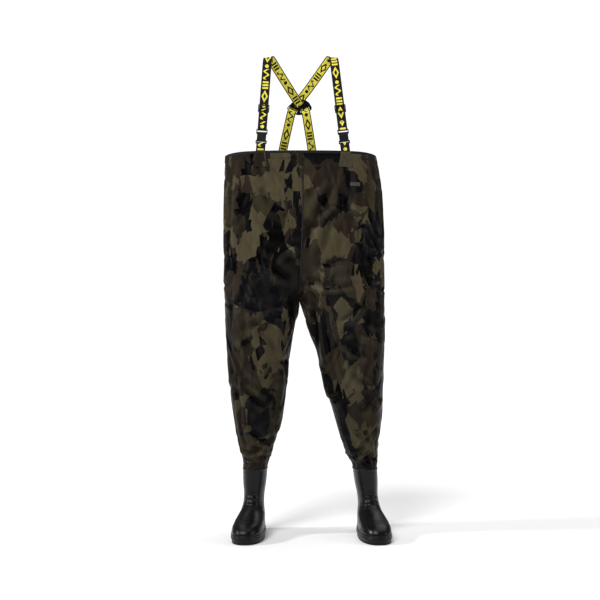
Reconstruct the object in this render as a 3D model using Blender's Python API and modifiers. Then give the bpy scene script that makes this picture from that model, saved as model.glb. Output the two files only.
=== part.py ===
"""Chest waders with welded boots and crossed braces, as separate solids.

Metres, +Z up, the wearer faces -Y, so the wearer's right side is at -X. The origin is on the floor, at
the middle of the object's bounding box. Soft parts are plain shells of the garment's true outer shape.
"""

import math

import bmesh
import bpy
import numpy as np
from mathutils import Matrix, Vector

# Overall sizes of the garment.
HEM_HEIGHT = 1.350
CROTCH_HEIGHT = 0.845
BOOT_HEIGHT = 0.236
RISE = 0.130
HEM_BAND = 0.030
HEM_THICKNESS = 0.0030
FABRIC = 0.0014
SEAM_GAP = 0.0008
CLEARANCE = 0.0003
TORSO_ROUNDNESS = 2.4
LEG_ROUNDNESS = 2.15

# Torso stations from the hem (0) to the crotch (1): right edge, centre seam, left edge, half depth.
TORSO = (
    (0.00, -0.266, 0.011, 0.270, 0.122),
    (0.12, -0.269, 0.011, 0.284, 0.124),
    (0.45, -0.269, 0.009, 0.297, 0.130),
    (0.72, -0.269, 0.004, 0.299, 0.138),
    (1.00, -0.264, -0.002, 0.300, 0.142),
)
# Leg stations from the crotch (0) to the boot top (1): outer edge, inner edge, half depth, centre Y.
RIGHT_LEG = (
    (0.00, -0.264, -0.002, 0.132, 0.000),
    (0.25, -0.257, -0.029, 0.122, 0.000),
    (0.53, -0.244, -0.050, 0.106, 0.002),
    (0.70, -0.229, -0.064, 0.094, 0.005),
    (0.88, -0.212, -0.098, 0.074, 0.010),
    (1.00, -0.203, -0.117, 0.062, 0.012),
)
LEFT_LEG = (
    (0.00, 0.300, -0.002, 0.132, 0.000),
    (0.25, 0.303, 0.045, 0.122, 0.000),
    (0.53, 0.297, 0.096, 0.106, 0.002),
    (0.70, 0.292, 0.126, 0.094, 0.005),
    (0.88, 0.279, 0.160, 0.074, 0.010),
    (1.00, 0.277, 0.185, 0.062, 0.012),
)
# Share of the leg's length below which its section turns into the boot top's.
BOOT_BLEND = 0.93
PANEL_COLUMNS = 10
TAPE_WIDTH = 0.022
TAPE_THICKNESS = 0.0006

# Boots, in a frame whose origin is on the floor under the ankle, with the toe towards -Y.
BOOT_WALL = 0.0030
SOLE_THICKNESS = 0.024
SOLE_LIP = 0.0020
# Stations: height, front, back, half width, how much wider the front is than the back.
BOOT = (
    (BOOT_HEIGHT, -0.062, 0.062, 0.0430, 0.00),
    (0.185, -0.058, 0.058, 0.0400, 0.00),
    (0.135, -0.060, 0.056, 0.0350, 0.00),
    (0.108, -0.072, 0.059, 0.0360, 0.03),
    (0.088, -0.098, 0.065, 0.0400, 0.13),
    (0.073, -0.138, 0.069, 0.0450, 0.22),
    (0.061, -0.180, 0.072, 0.0480, 0.27),
    (0.048, -0.203, 0.074, 0.0495, 0.30),
    (0.036, -0.211, 0.075, 0.0500, 0.30),
    (SOLE_THICKNESS + CLEARANCE, -0.212, 0.075, 0.0495, 0.30),
)
BOOT_ANGLES = 28
RIGHT_ANKLE_X = -0.1645
LEFT_ANKLE_X = 0.2440
ANKLE_Y = 0.012
RIGHT_TOP_X = -0.160
LEFT_TOP_X = 0.2315
TOE_OUT = math.radians(8)
RAND_HEIGHT = 0.016
RAND_THICKNESS = 0.0015
CAP_THICKNESS = 0.0013
TREAD_DEPTH = 0.006
TREAD_GROOVE = 0.005
ARCH_DEPTH = 0.012
ARCH_FRONT = -0.030
ARCH_BACK = 0.018
INSOLE_THICKNESS = 0.004
INSOLE_MARGIN = 0.0065
SHANK_LENGTH = 0.090
SHANK_WIDTH = 0.022
SHANK_THICKNESS = 0.0012
WELD_BAND_HEIGHT = 0.040
WELD_BAND_THICKNESS = 0.0010

# Braces: webbing, its slider and a side-release buckle.
WEBBING = 0.032
WEBBING_THICKNESS = 0.0014
BAR_RADIUS = 0.0013
EAR = 0.0029
FRONT_RIGHT_X = -0.138
FRONT_LEFT_X = 0.159
SHOULDER_RIGHT = (-0.1165, -0.030, 0.322)
SHOULDER_LEFT = (0.1225, -0.030, 0.322)
SHOULDER_BEND = 0.040
SHOULDER_STEPS = 10
TAB_BELOW_HEM = 0.045
HEM_TUCK = 0.0022
SOCKET_ABOVE_HEM = 0.030
ADJUSTER_ABOVE_HEM = 0.1600
ADJUSTER_HEIGHT = 0.027
ADJUSTER_BAR = 0.004
ADJUSTER_FRONT = 0.0024
SOCKET_LENGTH = 0.035
SOCKET_FLANGE = 0.012
SOCKET_BOX_WIDTH = 0.032
SOCKET_BOX_DEPTH = 0.009
SOCKET_WALL = 0.0020
PLUG_LENGTH = 0.0182
PLUG_BASE = 0.0070
PLUG_DEPTH = 0.005
PLUG_TRAVEL = 0.035
TONGUE_WIDTH = 0.005
ARM_LENGTH = 0.019
ARM_THICKNESS = 0.0022
ARM_REACH = 0.0156
WINDOW_LOW = 0.0150
WINDOW_HIGH = 0.0255

# The plate that holds the crossed braces at the back. Its outline's X is for webbing of width
# PLATE_WEBBING, and wider webbing makes it wider. Its Z is counted from the hem.
PLATE_FRONT = 0.106
PLATE_THICKNESS = 0.003
PLATE_WEBBING = 0.032
PLATE_OUTLINE = (
    (-0.0476, 0.1855),
    (-0.0440, 0.1920),
    (-0.0260, 0.2100),
    (-0.0060, 0.2160),
    (0.0200, 0.2160),
    (0.0335, 0.2070),
    (0.0428, 0.1905),
    (0.0425, 0.1820),
    (0.0370, 0.1770),
    (0.0030, 0.1610),
    (-0.0110, 0.1610),
    (-0.0430, 0.1770),
)
# Strap centrelines behind the shoulders, from the shoulder down, with Z counted from the hem.
BACK_RIGHT = (
    (-0.0880, 0.0280, 0.3220),
    (-0.0459, 0.0690, 0.2610),
    (-0.0165, 0.0975, 0.2200),
    (-0.0105, 0.1040, 0.2110),
    (-0.0066, 0.1045, 0.2055),
    (-0.0004, 0.1106, 0.1980),
    (0.0050, 0.1108, 0.1930),
    (0.0105, 0.1108, 0.1890),
    (0.0164, 0.1106, 0.1830),
    (0.0184, 0.1043, 0.1770),
    (0.0206, 0.1042, 0.1700),
    (0.0240, 0.1056, 0.1570),
    (0.0424, 0.1165, 0.0430),
)
BACK_LEFT = (
    (0.0880, 0.0280, 0.3220),
    (0.0400, 0.0785, 0.2630),
    (0.0090, 0.1110, 0.2280),
    (-0.0015, 0.1130, 0.2155),
    (-0.0085, 0.1130, 0.2060),
    (-0.0160, 0.1130, 0.1960),
    (-0.0205, 0.1130, 0.1900),
    (-0.0258, 0.1120, 0.1827),
    (-0.0286, 0.1043, 0.1765),
    (-0.0312, 0.1042, 0.1700),
    (-0.0345, 0.1056, 0.1580),
    (-0.0608, 0.1165, 0.0430),
)
BACK_HEM_RIGHT_X = 0.0480
BACK_HEM_LEFT_X = -0.0660
SLOT_LENGTH = WEBBING + 0.0030
SLOT_MARGIN = WEBBING / 8 - 0.0014

# Sewn and glued patches on the fabric.
PATCH_TOP = 0.034
PATCH_BOTTOM = 0.048
PATCH_HEIGHT = 0.052
PATCH_THICKNESS = 0.0010
BADGE_X = 0.192
BADGE_Z = 1.236
BADGE_WIDTH = 0.034
BADGE_HEIGHT = 0.012

RIGHT, LEFT = -1, 1
FRONT, BACK = -1, 1
SIDE_NAMES = {RIGHT: "right", LEFT: "left"}
FACE_NAMES = {FRONT: "front", BACK: "back"}


def clear_scene():
    for obj in list(bpy.data.objects):
        bpy.data.objects.remove(obj)


def collection(name):
    made = bpy.data.collections.new(name)
    bpy.context.scene.collection.children.link(made)
    return made


def material(name, colour, roughness, metallic=0.0):
    made = bpy.data.materials.new(name)
    made.use_nodes = True
    shader = made.node_tree.nodes["Principled BSDF"]
    shader.inputs["Base Color"].default_value = (*colour, 1)
    shader.inputs["Roughness"].default_value = roughness
    shader.inputs["Metallic"].default_value = metallic
    return made


clear_scene()
WADERS = collection("chest_waders")
CUTTERS = collection("cutters")
ROOT = bpy.data.objects.new("waders_frame", None)
WADERS.objects.link(ROOT)
CAMO = material("camouflage_fabric", (0.030, 0.026, 0.018), 0.62)
OLIVE = material("olive_fabric", (0.050, 0.046, 0.030), 0.65)
TAPE = material("seam_tape", (0.035, 0.035, 0.036), 0.45)
RUBBER = material("boot_rubber", (0.020, 0.020, 0.021), 0.42)
FOAM = material("insole_foam", (0.060, 0.060, 0.062), 0.85)
STEEL = material("shank_steel", (0.45, 0.45, 0.46), 0.35, 1.0)
WEB = material("brace_webbing", (0.62, 0.56, 0.05), 0.75)
PLASTIC = material("buckle_plastic", (0.016, 0.016, 0.018), 0.38)
BADGE = material("badge_rubber", (0.10, 0.10, 0.10), 0.5)


def add_object(name, data, look=None, matrix=None):
    """An object on the waders' frame; without a look it is a cutter, which is left out of a render."""
    obj = bpy.data.objects.new(name, data)
    (WADERS if look else CUTTERS).objects.link(obj)
    obj.parent = ROOT
    obj.matrix_basis = matrix or Matrix.Identity(4)
    if look:
        obj.data.materials.append(look)
    else:
        obj.hide_render = True
        obj.display_type = "WIRE"
    return obj


def mesh_object(name, points, faces, look=None, matrix=None):
    mesh = bpy.data.meshes.new(name)
    mesh.from_pydata([tuple(p) for p in points], [], faces)
    mesh.shade_smooth()
    return add_object(name, mesh, look, matrix)


def solidify(obj, thickness, offset):
    modifier = obj.modifiers.new("wall", "SOLIDIFY")
    modifier.thickness = thickness
    modifier.offset = offset
    modifier.use_even_offset = True


def sheet(name, rows, thickness, look, offset=-1.0, ring=False, flip=False, matrix=None):
    """A sheet through rows of points, thickened inwards (offset -1), outwards (1) or both ways (0)."""
    columns = len(rows[0])
    points = [p for row in rows for p in row]
    across = columns if ring else columns - 1
    faces = []
    for i in range(len(rows) - 1):
        for j in range(across):
            k = (j + 1) % columns
            face = (i * columns + j, (i + 1) * columns + j, (i + 1) * columns + k, i * columns + k)
            faces.append(face[::-1] if flip else face)
    obj = mesh_object(name, points, faces, look, matrix)
    solidify(obj, thickness, offset)
    return obj


def box(name, low, high, look=None, matrix=None, bevel=0.0):
    """A box between two corners, with its edges rounded if a bevel is given."""
    mesh = bpy.data.meshes.new(name)
    shape = bmesh.new()
    bmesh.ops.create_cube(shape, size=1.0)
    low, high = Vector(low), Vector(high)
    bmesh.ops.scale(shape, vec=high - low, verts=shape.verts)
    bmesh.ops.translate(shape, vec=(low + high) / 2, verts=shape.verts)
    shape.to_mesh(mesh)
    shape.free()
    obj = add_object(name, mesh, look, matrix)
    if bevel:
        modifier = obj.modifiers.new("rounded", "BEVEL")
        modifier.width = bevel
        modifier.segments = 2
    return obj


def bar(name, length, radius, centre, matrix, sides=12):
    """A round bar along local X, used to join two ears."""
    mesh = bpy.data.meshes.new(name)
    shape = bmesh.new()
    place = Matrix.Translation(centre) @ Matrix.Rotation(math.pi / 2, 4, "Y")
    bmesh.ops.create_cone(
        shape, cap_ends=True, segments=sides, radius1=radius, radius2=radius, depth=length, matrix=place
    )
    shape.to_mesh(mesh)
    shape.free()
    return add_object(name, mesh, None, matrix)


def boolean(obj, other, operation="DIFFERENCE"):
    modifier = obj.modifiers.new(other.name, "BOOLEAN")
    modifier.operation = operation
    modifier.object = other


def plate(name, outline, thickness, look, matrix=None):
    """A flat outline in local XY, centred on it in thickness, as a mesh that a Boolean can cut."""
    curve = bpy.data.curves.new(name + "_outline", "CURVE")
    curve.dimensions = "2D"
    curve.fill_mode = "BOTH"
    curve.extrude = thickness / 2
    spline = curve.splines.new("POLY")
    spline.points.add(len(outline) - 1)
    for point, (x, y) in zip(spline.points, outline):
        point.co = (x, y, 0, 1)
    spline.use_cyclic_u = True
    drawn = bpy.data.objects.new(name + "_outline", curve)
    WADERS.objects.link(drawn)
    bpy.context.view_layer.update()
    graph = bpy.context.evaluated_depsgraph_get()
    mesh = bpy.data.meshes.new_from_object(drawn.evaluated_get(graph))
    bpy.data.objects.remove(drawn)
    shape = bmesh.new()
    shape.from_mesh(mesh)
    bmesh.ops.remove_doubles(shape, verts=shape.verts, dist=1e-5)
    bmesh.ops.recalc_face_normals(shape, faces=shape.faces)
    shape.to_mesh(mesh)
    shape.free()
    mesh.name = name
    return add_object(name, mesh, look, matrix)


def between(stations, at, column):
    """A smooth value of one column of a station table at a share of its length."""
    knots = [s[0] for s in stations]
    values = [s[column] for s in stations]
    slopes = np.gradient(values, knots)
    i = min(max(int(np.searchsorted(knots, at)) - 1, 0), len(knots) - 2)
    span = knots[i + 1] - knots[i]
    t = (at - knots[i]) / span
    return float(
        values[i] * (1 + 2 * t) * (1 - t) ** 2
        + slopes[i] * span * t * (1 - t) ** 2
        + values[i + 1] * t * t * (3 - 2 * t)
        + slopes[i + 1] * span * t * t * (t - 1)
    )


def power(value, exponent):
    return math.copysign(abs(value) ** exponent, value)


def mix(a, b, share):
    return a + (b - a) * share


def smooth(share):
    share = min(max(share, 0.0), 1.0)
    return share * share * (3 - 2 * share)


def bulge(u, roundness):
    """Height of a superellipse's quarter of unit size at u, from 1 in its middle to 0 at its end."""
    return max(0.0, 1 - abs(u) ** roundness) ** (1 / roundness)


def torso_share(height):
    return (HEM_HEIGHT - height) / (HEM_HEIGHT - CROTCH_HEIGHT)


def torso_y(x, height, face):
    """Y of the torso's outer surface at a given X and height."""
    share = torso_share(height)
    seam = between(TORSO, share, 2)
    reach = abs(between(TORSO, share, 3 if x > seam else 1) - seam)
    return face * between(TORSO, share, 4) * bulge((x - seam) / reach, TORSO_ROUNDNESS)


def body_point(side, face, across, height, arch):
    """A point of the garment's outer surface. across runs from the centre or inner seam (0) to the side
    seam (1). arch is 0 in the torso and 1 in the leg, and brings the front and back together between."""
    share = min(torso_share(height), 1.0)
    stations = LEFT_LEG if side == LEFT else RIGHT_LEG
    down = min(max((CROTCH_HEIGHT - height) / (CROTCH_HEIGHT - BOOT_HEIGHT), 0.0), 1.0)
    leg = smooth((CROTCH_HEIGHT + RISE - height) / RISE)
    if down > 0:
        inner, outer = between(stations, down, 2), between(stations, down, 1)
    else:
        inner, outer = between(TORSO, share, 2), between(TORSO, share, 3 if side == LEFT else 1)
    depth = mix(between(TORSO, share, 4), between(stations, down, 3), leg)
    torso_u = math.sin(across * math.pi / 2) ** (2 / TORSO_ROUNDNESS)
    leg_u = (1 - power(math.cos(across * math.pi), 2 / LEG_ROUNDNESS)) / 2
    u = mix(torso_u, leg_u, leg)
    flat = mix(bulge(u, TORSO_ROUNDNESS), bulge(max(0.0, 2 * u - 1), LEG_ROUNDNESS), leg)
    pinch = bulge(arch * max(0.0, 1 - 2 * u), LEG_ROUNDNESS)
    y = mix(0.0, between(stations, down, 4), leg) + face * depth * flat * pinch
    point = Vector((mix(inner, outer, u), y, height))
    meet = smooth((down - BOOT_BLEND) / (1 - BOOT_BLEND))
    if meet:
        angle = side * (2 * across - 1) * math.pi / 2
        if face == BACK:
            angle = math.pi - angle
        cuff = boot_matrix(side) @ boot_ring(side, BOOT_HEIGHT, 0, [angle])[0]
        cuff.z = height
        point = point.lerp(cuff, meet)
    return point


def body_levels():
    """Heights from under the hem to the boot top, each with the crotch's arch there."""
    top = HEM_HEIGHT - HEM_BAND - CLEARANCE
    levels = [(z, 0.0) for z in np.linspace(top, CROTCH_HEIGHT + RISE, 6)]
    for turned in np.linspace(0, math.pi / 2, 8)[1:]:
        levels.append((CROTCH_HEIGHT + RISE * (1 - math.sin(turned)), math.sin(turned)))
    bottom = BOOT_HEIGHT + CLEARANCE
    levels += [(z, 1.0) for z in np.linspace(CROTCH_HEIGHT, bottom, 13)[1:]]
    return levels


def panel_rows(side, face):
    """The points of one panel. Its edges stop half a seam gap short of the seams."""
    rows = []
    for height, spread in body_levels():
        row = [body_point(side, face, a, height, spread) for a in np.linspace(0, 1, PANEL_COLUMNS + 1)]
        for edge, inner in ((0, 1), (-1, -2)):
            step = row[inner] - row[edge]
            row[edge] = row[edge] + step.normalized() * SEAM_GAP / 2
        rows.append(row)
    return rows


def build_panels():
    for side in (RIGHT, LEFT):
        for face in (FRONT, BACK):
            name = f"{FACE_NAMES[face]}_{SIDE_NAMES[side]}_panel"
            sheet(name, panel_rows(side, face), FABRIC, CAMO, flip=side * face > 0)


def build_hem():
    """The folded band round the top, over the panels' upper edge line."""
    rows = []
    for height in (HEM_HEIGHT, HEM_HEIGHT - HEM_BAND):
        ring = []
        for side, face in ((RIGHT, FRONT), (RIGHT, BACK), (LEFT, BACK), (LEFT, FRONT)):
            shares = np.linspace(0, 1, PANEL_COLUMNS + 1)[:-1]
            if face * side < 0:
                shares = 1 - shares
            ring += [body_point(side, face, a, height, 0.0) for a in shares]
        rows.append(ring)
    sheet("top_hem", rows, HEM_THICKNESS, CAMO, ring=True, flip=True)


def tape_row(middle, near, far, outside_near, outside_far):
    """Three points of a tape inside a seam: over each panel and over the seam itself."""
    inward = -(outside_near + outside_far).normalized()
    depth = FABRIC + CLEARANCE + TAPE_THICKNESS
    reach = TAPE_WIDTH / 2
    return [
        middle + (near - middle).normalized() * reach - outside_near * depth,
        middle + inward * depth,
        middle + (far - middle).normalized() * reach - outside_far * depth,
    ]


def outward(side, face, across, height, spread):
    """The outer surface's normal, from small steps across and down."""
    step = 0.02
    a = min(max(across, step), 1 - step)
    du = body_point(side, face, a + step, height, spread) - body_point(side, face, a - step, height, spread)
    dv = body_point(side, face, a, height + step, spread) - body_point(side, face, a, height - step, spread)
    normal = du.cross(dv).normalized()
    return normal if side * face < 0 else -normal


def seam_tape(name, seam, levels, half_a, half_b):
    """A tape along one seam, between two panels given as (side, face). seam is 0 or 1."""
    rows = []
    beside = 1 / PANEL_COLUMNS if seam == 0 else 1 - 1 / PANEL_COLUMNS
    for height, spread in levels:
        middle = body_point(*half_a, seam, height, spread)
        near = body_point(*half_a, beside, height, spread)
        far = body_point(*half_b, beside, height, spread)
        rows.append(tape_row(
            middle, near, far,
            outward(*half_a, seam, height, spread), outward(*half_b, seam, height, spread),
        ))
    sheet(name, rows, TAPE_THICKNESS, TAPE, offset=0.0)


def build_tapes():
    levels = body_levels()
    torso = [level for level in levels if level[1] == 0.0]
    leg = [level for level in levels if level[1] == 1.0][1:-1]
    whole = levels[:-1]
    seam_tape("front_centre_seam_tape", 0, torso, (RIGHT, FRONT), (LEFT, FRONT))
    seam_tape("back_centre_seam_tape", 0, torso, (RIGHT, BACK), (LEFT, BACK))
    for side in (RIGHT, LEFT):
        seam_tape(SIDE_NAMES[side] + "_side_seam_tape", 1, whole, (side, FRONT), (side, BACK))
        seam_tape(SIDE_NAMES[side] + "_inner_leg_seam_tape", 0, leg, (side, FRONT), (side, BACK))


def boot_matrix(side):
    x = LEFT_ANKLE_X if side == LEFT else RIGHT_ANKLE_X
    return Matrix.Translation((x, ANKLE_Y, 0)) @ Matrix.Rotation(side * TOE_OUT, 4, "Z")


def boot_lean(side, height):
    """How far the shaft leans sideways at a height, from the ankle up to the boot top."""
    ankle, top = (LEFT_ANKLE_X, LEFT_TOP_X) if side == LEFT else (RIGHT_ANKLE_X, RIGHT_TOP_X)
    low = BOOT[3][0]
    return (top - ankle) * max(0.0, height - low) / (BOOT_HEIGHT - low)


def boot_ring(side, height, grow=0.0, angles=None):
    """Points round the boot at a height, from the toe round. grow moves them outwards."""
    heights = [s[0] for s in BOOT][::-1]
    front, back, half, wider = (
        float(np.interp(height, heights, [s[k] for s in BOOT][::-1])) for k in (1, 2, 3, 4)
    )
    middle, reach = (front + back) / 2, (back - front) / 2 + grow
    half += grow
    ring = []
    for angle in angles if angles is not None else np.arange(BOOT_ANGLES) * 2 * math.pi / BOOT_ANGLES:
        x = half * power(math.sin(angle), 0.86) * (1 + wider * math.cos(angle))
        y = middle - reach * math.cos(angle)
        ring.append(Vector((x + boot_lean(side, height), y, height)))
    return ring


def build_boot_upper(side, name):
    rows = [boot_ring(side, station[0]) for station in BOOT]
    count = len(rows[0])
    points = [p for row in rows for p in row]
    faces = []
    for i in range(len(rows) - 1):
        for j in range(count):
            k = (j + 1) % count
            faces.append((i * count + j, i * count + k, (i + 1) * count + k, (i + 1) * count + j))
    last = (len(rows) - 1) * count
    faces.append(tuple(last + j for j in range(count)))
    faces = [face[::-1] for face in faces]
    obj = mesh_object(name, points, faces, RUBBER, boot_matrix(side))
    solidify(obj, BOOT_WALL, -1)


def build_outsole(side, name):
    """The cleated sole: an outline with the arch, the tread grooves and the shank's pocket cut out."""
    ring = boot_ring(side, SOLE_THICKNESS, SOLE_LIP)
    matrix = boot_matrix(side)
    lift = matrix @ Matrix.Translation((0, 0, SOLE_THICKNESS / 2))
    sole = plate(name, [(p.x, p.y) for p in ring], SOLE_THICKNESS, RUBBER, lift)
    wide, below = 0.1, -0.01
    cuts = [(ARCH_FRONT, ARCH_BACK, ARCH_DEPTH)]
    for middle in (-0.175, -0.140, -0.105, -0.070, 0.045):
        cuts.append((middle - TREAD_GROOVE / 2, middle + TREAD_GROOVE / 2, TREAD_DEPTH))
    for i, (front, back, height) in enumerate(cuts):
        boolean(sole, box(f"{name}_cut_{i}", (-wide, front, below), (wide, back, height), None, matrix))
    room = CLEARANCE
    pocket = box(
        f"{name}_pocket",
        (-SHANK_WIDTH / 2 - room, ARCH_FRONT - 0.025 - room, SOLE_THICKNESS - SHANK_THICKNESS - 2 * room),
        (SHANK_WIDTH / 2 + room, ARCH_FRONT - 0.025 + SHANK_LENGTH + room, SOLE_THICKNESS + 0.01),
        None, matrix,
    )
    boolean(sole, pocket)


def build_shank(side, name):
    low = (-SHANK_WIDTH / 2, ARCH_FRONT - 0.025, SOLE_THICKNESS - SHANK_THICKNESS - CLEARANCE)
    high = (SHANK_WIDTH / 2, ARCH_FRONT - 0.025 + SHANK_LENGTH, SOLE_THICKNESS - CLEARANCE)
    box(name, low, high, STEEL, boot_matrix(side))


def build_insole(side, name):
    floor = SOLE_THICKNESS + BOOT_WALL + 2 * CLEARANCE
    ring = boot_ring(side, SOLE_THICKNESS + CLEARANCE, -INSOLE_MARGIN)
    lift = boot_matrix(side) @ Matrix.Translation((0, 0, floor + INSOLE_THICKNESS / 2))
    plate(name, [(p.x, p.y) for p in ring], INSOLE_THICKNESS, FOAM, lift)


def boot_band(side, name, heights, inset, thickness, look, angles=None, offset=1.0):
    """A strip that follows the boot's surface: all the way round, or over the given angles."""
    rows = [boot_ring(side, z, inset, angles) for z in heights]
    sheet(name, rows, thickness, look, offset, angles is None, False, boot_matrix(side))


def build_boots():
    step = 2 * math.pi / BOOT_ANGLES
    toe = [i * step for i in range(-5, 6)]
    heel = [math.pi + i * step for i in range(-5, 6)]
    rand_top = SOLE_THICKNESS + RAND_HEIGHT
    for side in (RIGHT, LEFT):
        start = SIDE_NAMES[side] + "_boot_"
        build_boot_upper(side, start + "upper")
        build_outsole(side, start + "outsole")
        build_shank(side, start + "shank")
        build_insole(side, start + "insole")
        gap = 2 * CLEARANCE
        low = SOLE_THICKNESS + 2 * CLEARANCE
        boot_band(side, start + "rand", (rand_top, BOOT[-2][0], low), gap, RAND_THICKNESS, RUBBER)
        above = rand_top + gap
        toe_levels = (0.066, BOOT[6][0], BOOT[7][0], above)
        boot_band(side, start + "toe_cap", toe_levels, gap * 2, CAP_THICKNESS, RUBBER, toe)
        heel_levels = (BOOT[4][0], BOOT[5][0], BOOT[6][0], BOOT[7][0], above)
        boot_band(side, start + "heel_counter", heel_levels, gap, CAP_THICKNESS, RUBBER, heel)
        build_weld_band(side)


def leg_ring(side, height):
    """The garment's outer surface round one leg, from the toe's direction round."""
    ring = []
    for angle in np.arange(BOOT_ANGLES) * 2 * math.pi / BOOT_ANGLES:
        face = FRONT if math.cos(angle) > 0 else BACK
        turned = angle if angle < math.pi else angle - 2 * math.pi
        if face == BACK:
            turned = math.copysign(math.pi, turned) - turned
        ring.append(body_point(side, face, (side * turned * 2 / math.pi + 1) / 2, height, 1.0))
    return ring


def build_weld_band(side):
    """The welded band inside the joint of the leg and the boot."""
    half = WELD_BAND_HEIGHT / 2
    place = boot_matrix(side)
    rows = [leg_ring(side, BOOT_HEIGHT + half * up) for up in (1, 0.5, 0.05)]
    rows += [[place @ p for p in boot_ring(side, BOOT_HEIGHT - half * down)] for down in (0.05, 0.5, 1)]
    for row in rows:
        middle = sum(row, Vector()) / len(row)
        row[:] = [p + (middle - p).normalized() * (BOOT_WALL + 3 * CLEARANCE) for p in row]
    name = SIDE_NAMES[side] + "_leg_weld_band"
    sheet(name, rows, WELD_BAND_THICKNESS, TAPE, -1.0, True)


def above_hem(point):
    """A point whose Z is counted from the hem."""
    return Vector(point) + Vector((0, 0, HEM_HEIGHT))


def inside_hem(x, face):
    """Y of webbing that is sewn inside the hem at a given X."""
    ys = [abs(torso_y(x + e, HEM_HEIGHT, face)) for e in (-WEBBING / 2, WEBBING / 2)]
    return face * (min(ys) - HEM_THICKNESS - HEM_TUCK - WEBBING_THICKNESS / 2)


def front_line(side):
    """Where the front strap starts at the hem, and its frame: X across, Y to the back, Z along it."""
    x = FRONT_LEFT_X if side == LEFT else FRONT_RIGHT_X
    start = Vector((x, inside_hem(x, FRONT), HEM_HEIGHT))
    end = above_hem(SHOULDER_LEFT if side == LEFT else SHOULDER_RIGHT)
    along = (end - start).normalized()
    across = (Vector((1, 0, 0)) - along.x * along).normalized()
    back = along.cross(across)
    matrix = Matrix((across, back, along)).transposed().to_4x4()
    matrix.translation = start
    return matrix, (end - start).length


def ribbon(name, centres, acrosses, look=WEB, width=WEBBING):
    """Webbing along a centreline, with the direction of its width at each point."""
    rows = []
    for i, (centre, across) in enumerate(zip(centres, acrosses)):
        along = centres[min(i + 1, len(centres) - 1)] - centres[max(i - 1, 0)]
        flat = (across - along * across.dot(along) / along.length_squared).normalized()
        rows.append([centre - flat * width / 2, centre + flat * width / 2])
    return sheet(name, rows, WEBBING_THICKNESS, look, offset=0.0)


def turn(middle_y, middle_z, radius, first, last, steps=6):
    """Local points round a bar, as (y, z), between two angles measured from +Y towards +Z."""
    angles = np.linspace(first, last, steps + 1)
    return [(middle_y + radius * math.cos(a), middle_z + radius * math.sin(a)) for a in angles]


WRAP = BAR_RADIUS + CLEARANCE + WEBBING_THICKNESS / 2
BAR_Y = WRAP
PLUG_START = SOCKET_ABOVE_HEM + SOCKET_LENGTH + CLEARANCE
PLUG_BAR_Z = PLUG_START + PLUG_LENGTH - BAR_RADIUS - 0.0016
SOCKET_BAR_Z = SOCKET_ABOVE_HEM + BAR_RADIUS + 0.0012
ADJUSTER_BAR_Y = WEBBING_THICKNESS / 2 + CLEARANCE + WEBBING_THICKNESS + CLEARANCE + BAR_RADIUS
HALF_SLOT = WEBBING / 2 + 0.0006
LOOP_TOP = PLUG_START + PLUG_BASE + PLUG_TRAVEL + 0.004


def local_path(matrix, points):
    return [matrix @ Vector((0, y, z)) for y, z in points]


def bezier(a, b, c, d, steps):
    made = []
    for t in np.linspace(0, 1, steps + 1):
        s = 1 - t
        made.append(a * s**3 + b * 3 * s * s * t + c * 3 * s * t * t + d * t**3)
    return made


def back_acrosses(points):
    """The width's direction down the back, square to the strap as it is seen from the front."""
    found = []
    for i in range(len(points)):
        along = points[min(i + 1, len(points) - 1)] - points[max(i - 1, 0)]
        found.append(Vector((-along.z, 0, along.x)).normalized())
    return found


def build_brace(side):
    """One webbing strap: up the front through the slider, over the shoulder, and down the back."""
    matrix, length = front_line(side)
    back = [above_hem(p) for p in (BACK_LEFT if side == LEFT else BACK_RIGHT)]
    hem_x = BACK_HEM_LEFT_X if side == LEFT else BACK_HEM_RIGHT_X
    hem_y = inside_hem(hem_x, BACK)
    back.append(Vector((hem_x, hem_y, HEM_HEIGHT + 0.004)))
    back.append(Vector((hem_x, hem_y, HEM_HEIGHT - TAB_BELOW_HEM)))
    front = local_path(matrix, [(0, LOOP_TOP + CLEARANCE), (0, length * 0.6), (0, length)])
    up = front[-1] + matrix.col[2].to_3d() * SHOULDER_BEND
    down = back[0] - (back[1] - back[0]).normalized() * SHOULDER_BEND
    bend = bezier(front[-1], up, down, back[0], SHOULDER_STEPS)
    first = matrix.col[0].to_3d()
    behind = back_acrosses(back)
    middle = [first.lerp(behind[0], i / SHOULDER_STEPS) for i in range(1, SHOULDER_STEPS)]
    ribbon(
        SIDE_NAMES[side] + "_brace_strap",
        front + bend[1:-1] + back,
        [first] * len(front) + middle + behind,
    )


def build_loop(side):
    """The same strap's lower end: from the slider's middle bar down, round the plug's bar and up again."""
    matrix, _ = front_line(side)
    top = ADJUSTER_ABOVE_HEM
    points = [(0, LOOP_TOP)] + turn(BAR_Y, PLUG_BAR_Z, WRAP, math.pi, 2 * math.pi)
    points += [(2 * WRAP, PLUG_BAR_Z + 0.006), (ADJUSTER_BAR_Y + WRAP, top - 0.012)]
    points += turn(ADJUSTER_BAR_Y, top, WRAP, 0, math.pi)
    points.append((ADJUSTER_BAR_Y - WRAP, top - 0.008))
    path = local_path(matrix, points)
    ribbon(SIDE_NAMES[side] + "_strap_loop", path, [matrix.col[0].to_3d()] * len(path))


def build_tab(side):
    """The short webbing loop that holds the buckle's socket, sewn inside the hem."""
    matrix, _ = front_line(side)
    front = local_path(matrix, turn(BAR_Y, SOCKET_BAR_Z, WRAP, math.pi, 0))
    start = matrix.translation
    layer = Vector((0, WEBBING_THICKNESS + CLEARANCE, 0))
    drop = Vector((0, 0, -TAB_BELOW_HEM))
    path = [start + drop, start, *front, start + layer + Vector((0, 0, 0.002)), start + layer + drop * 0.9]
    ribbon(SIDE_NAMES[side] + "_front_tab", path, [matrix.col[0].to_3d()] * len(path))


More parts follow.
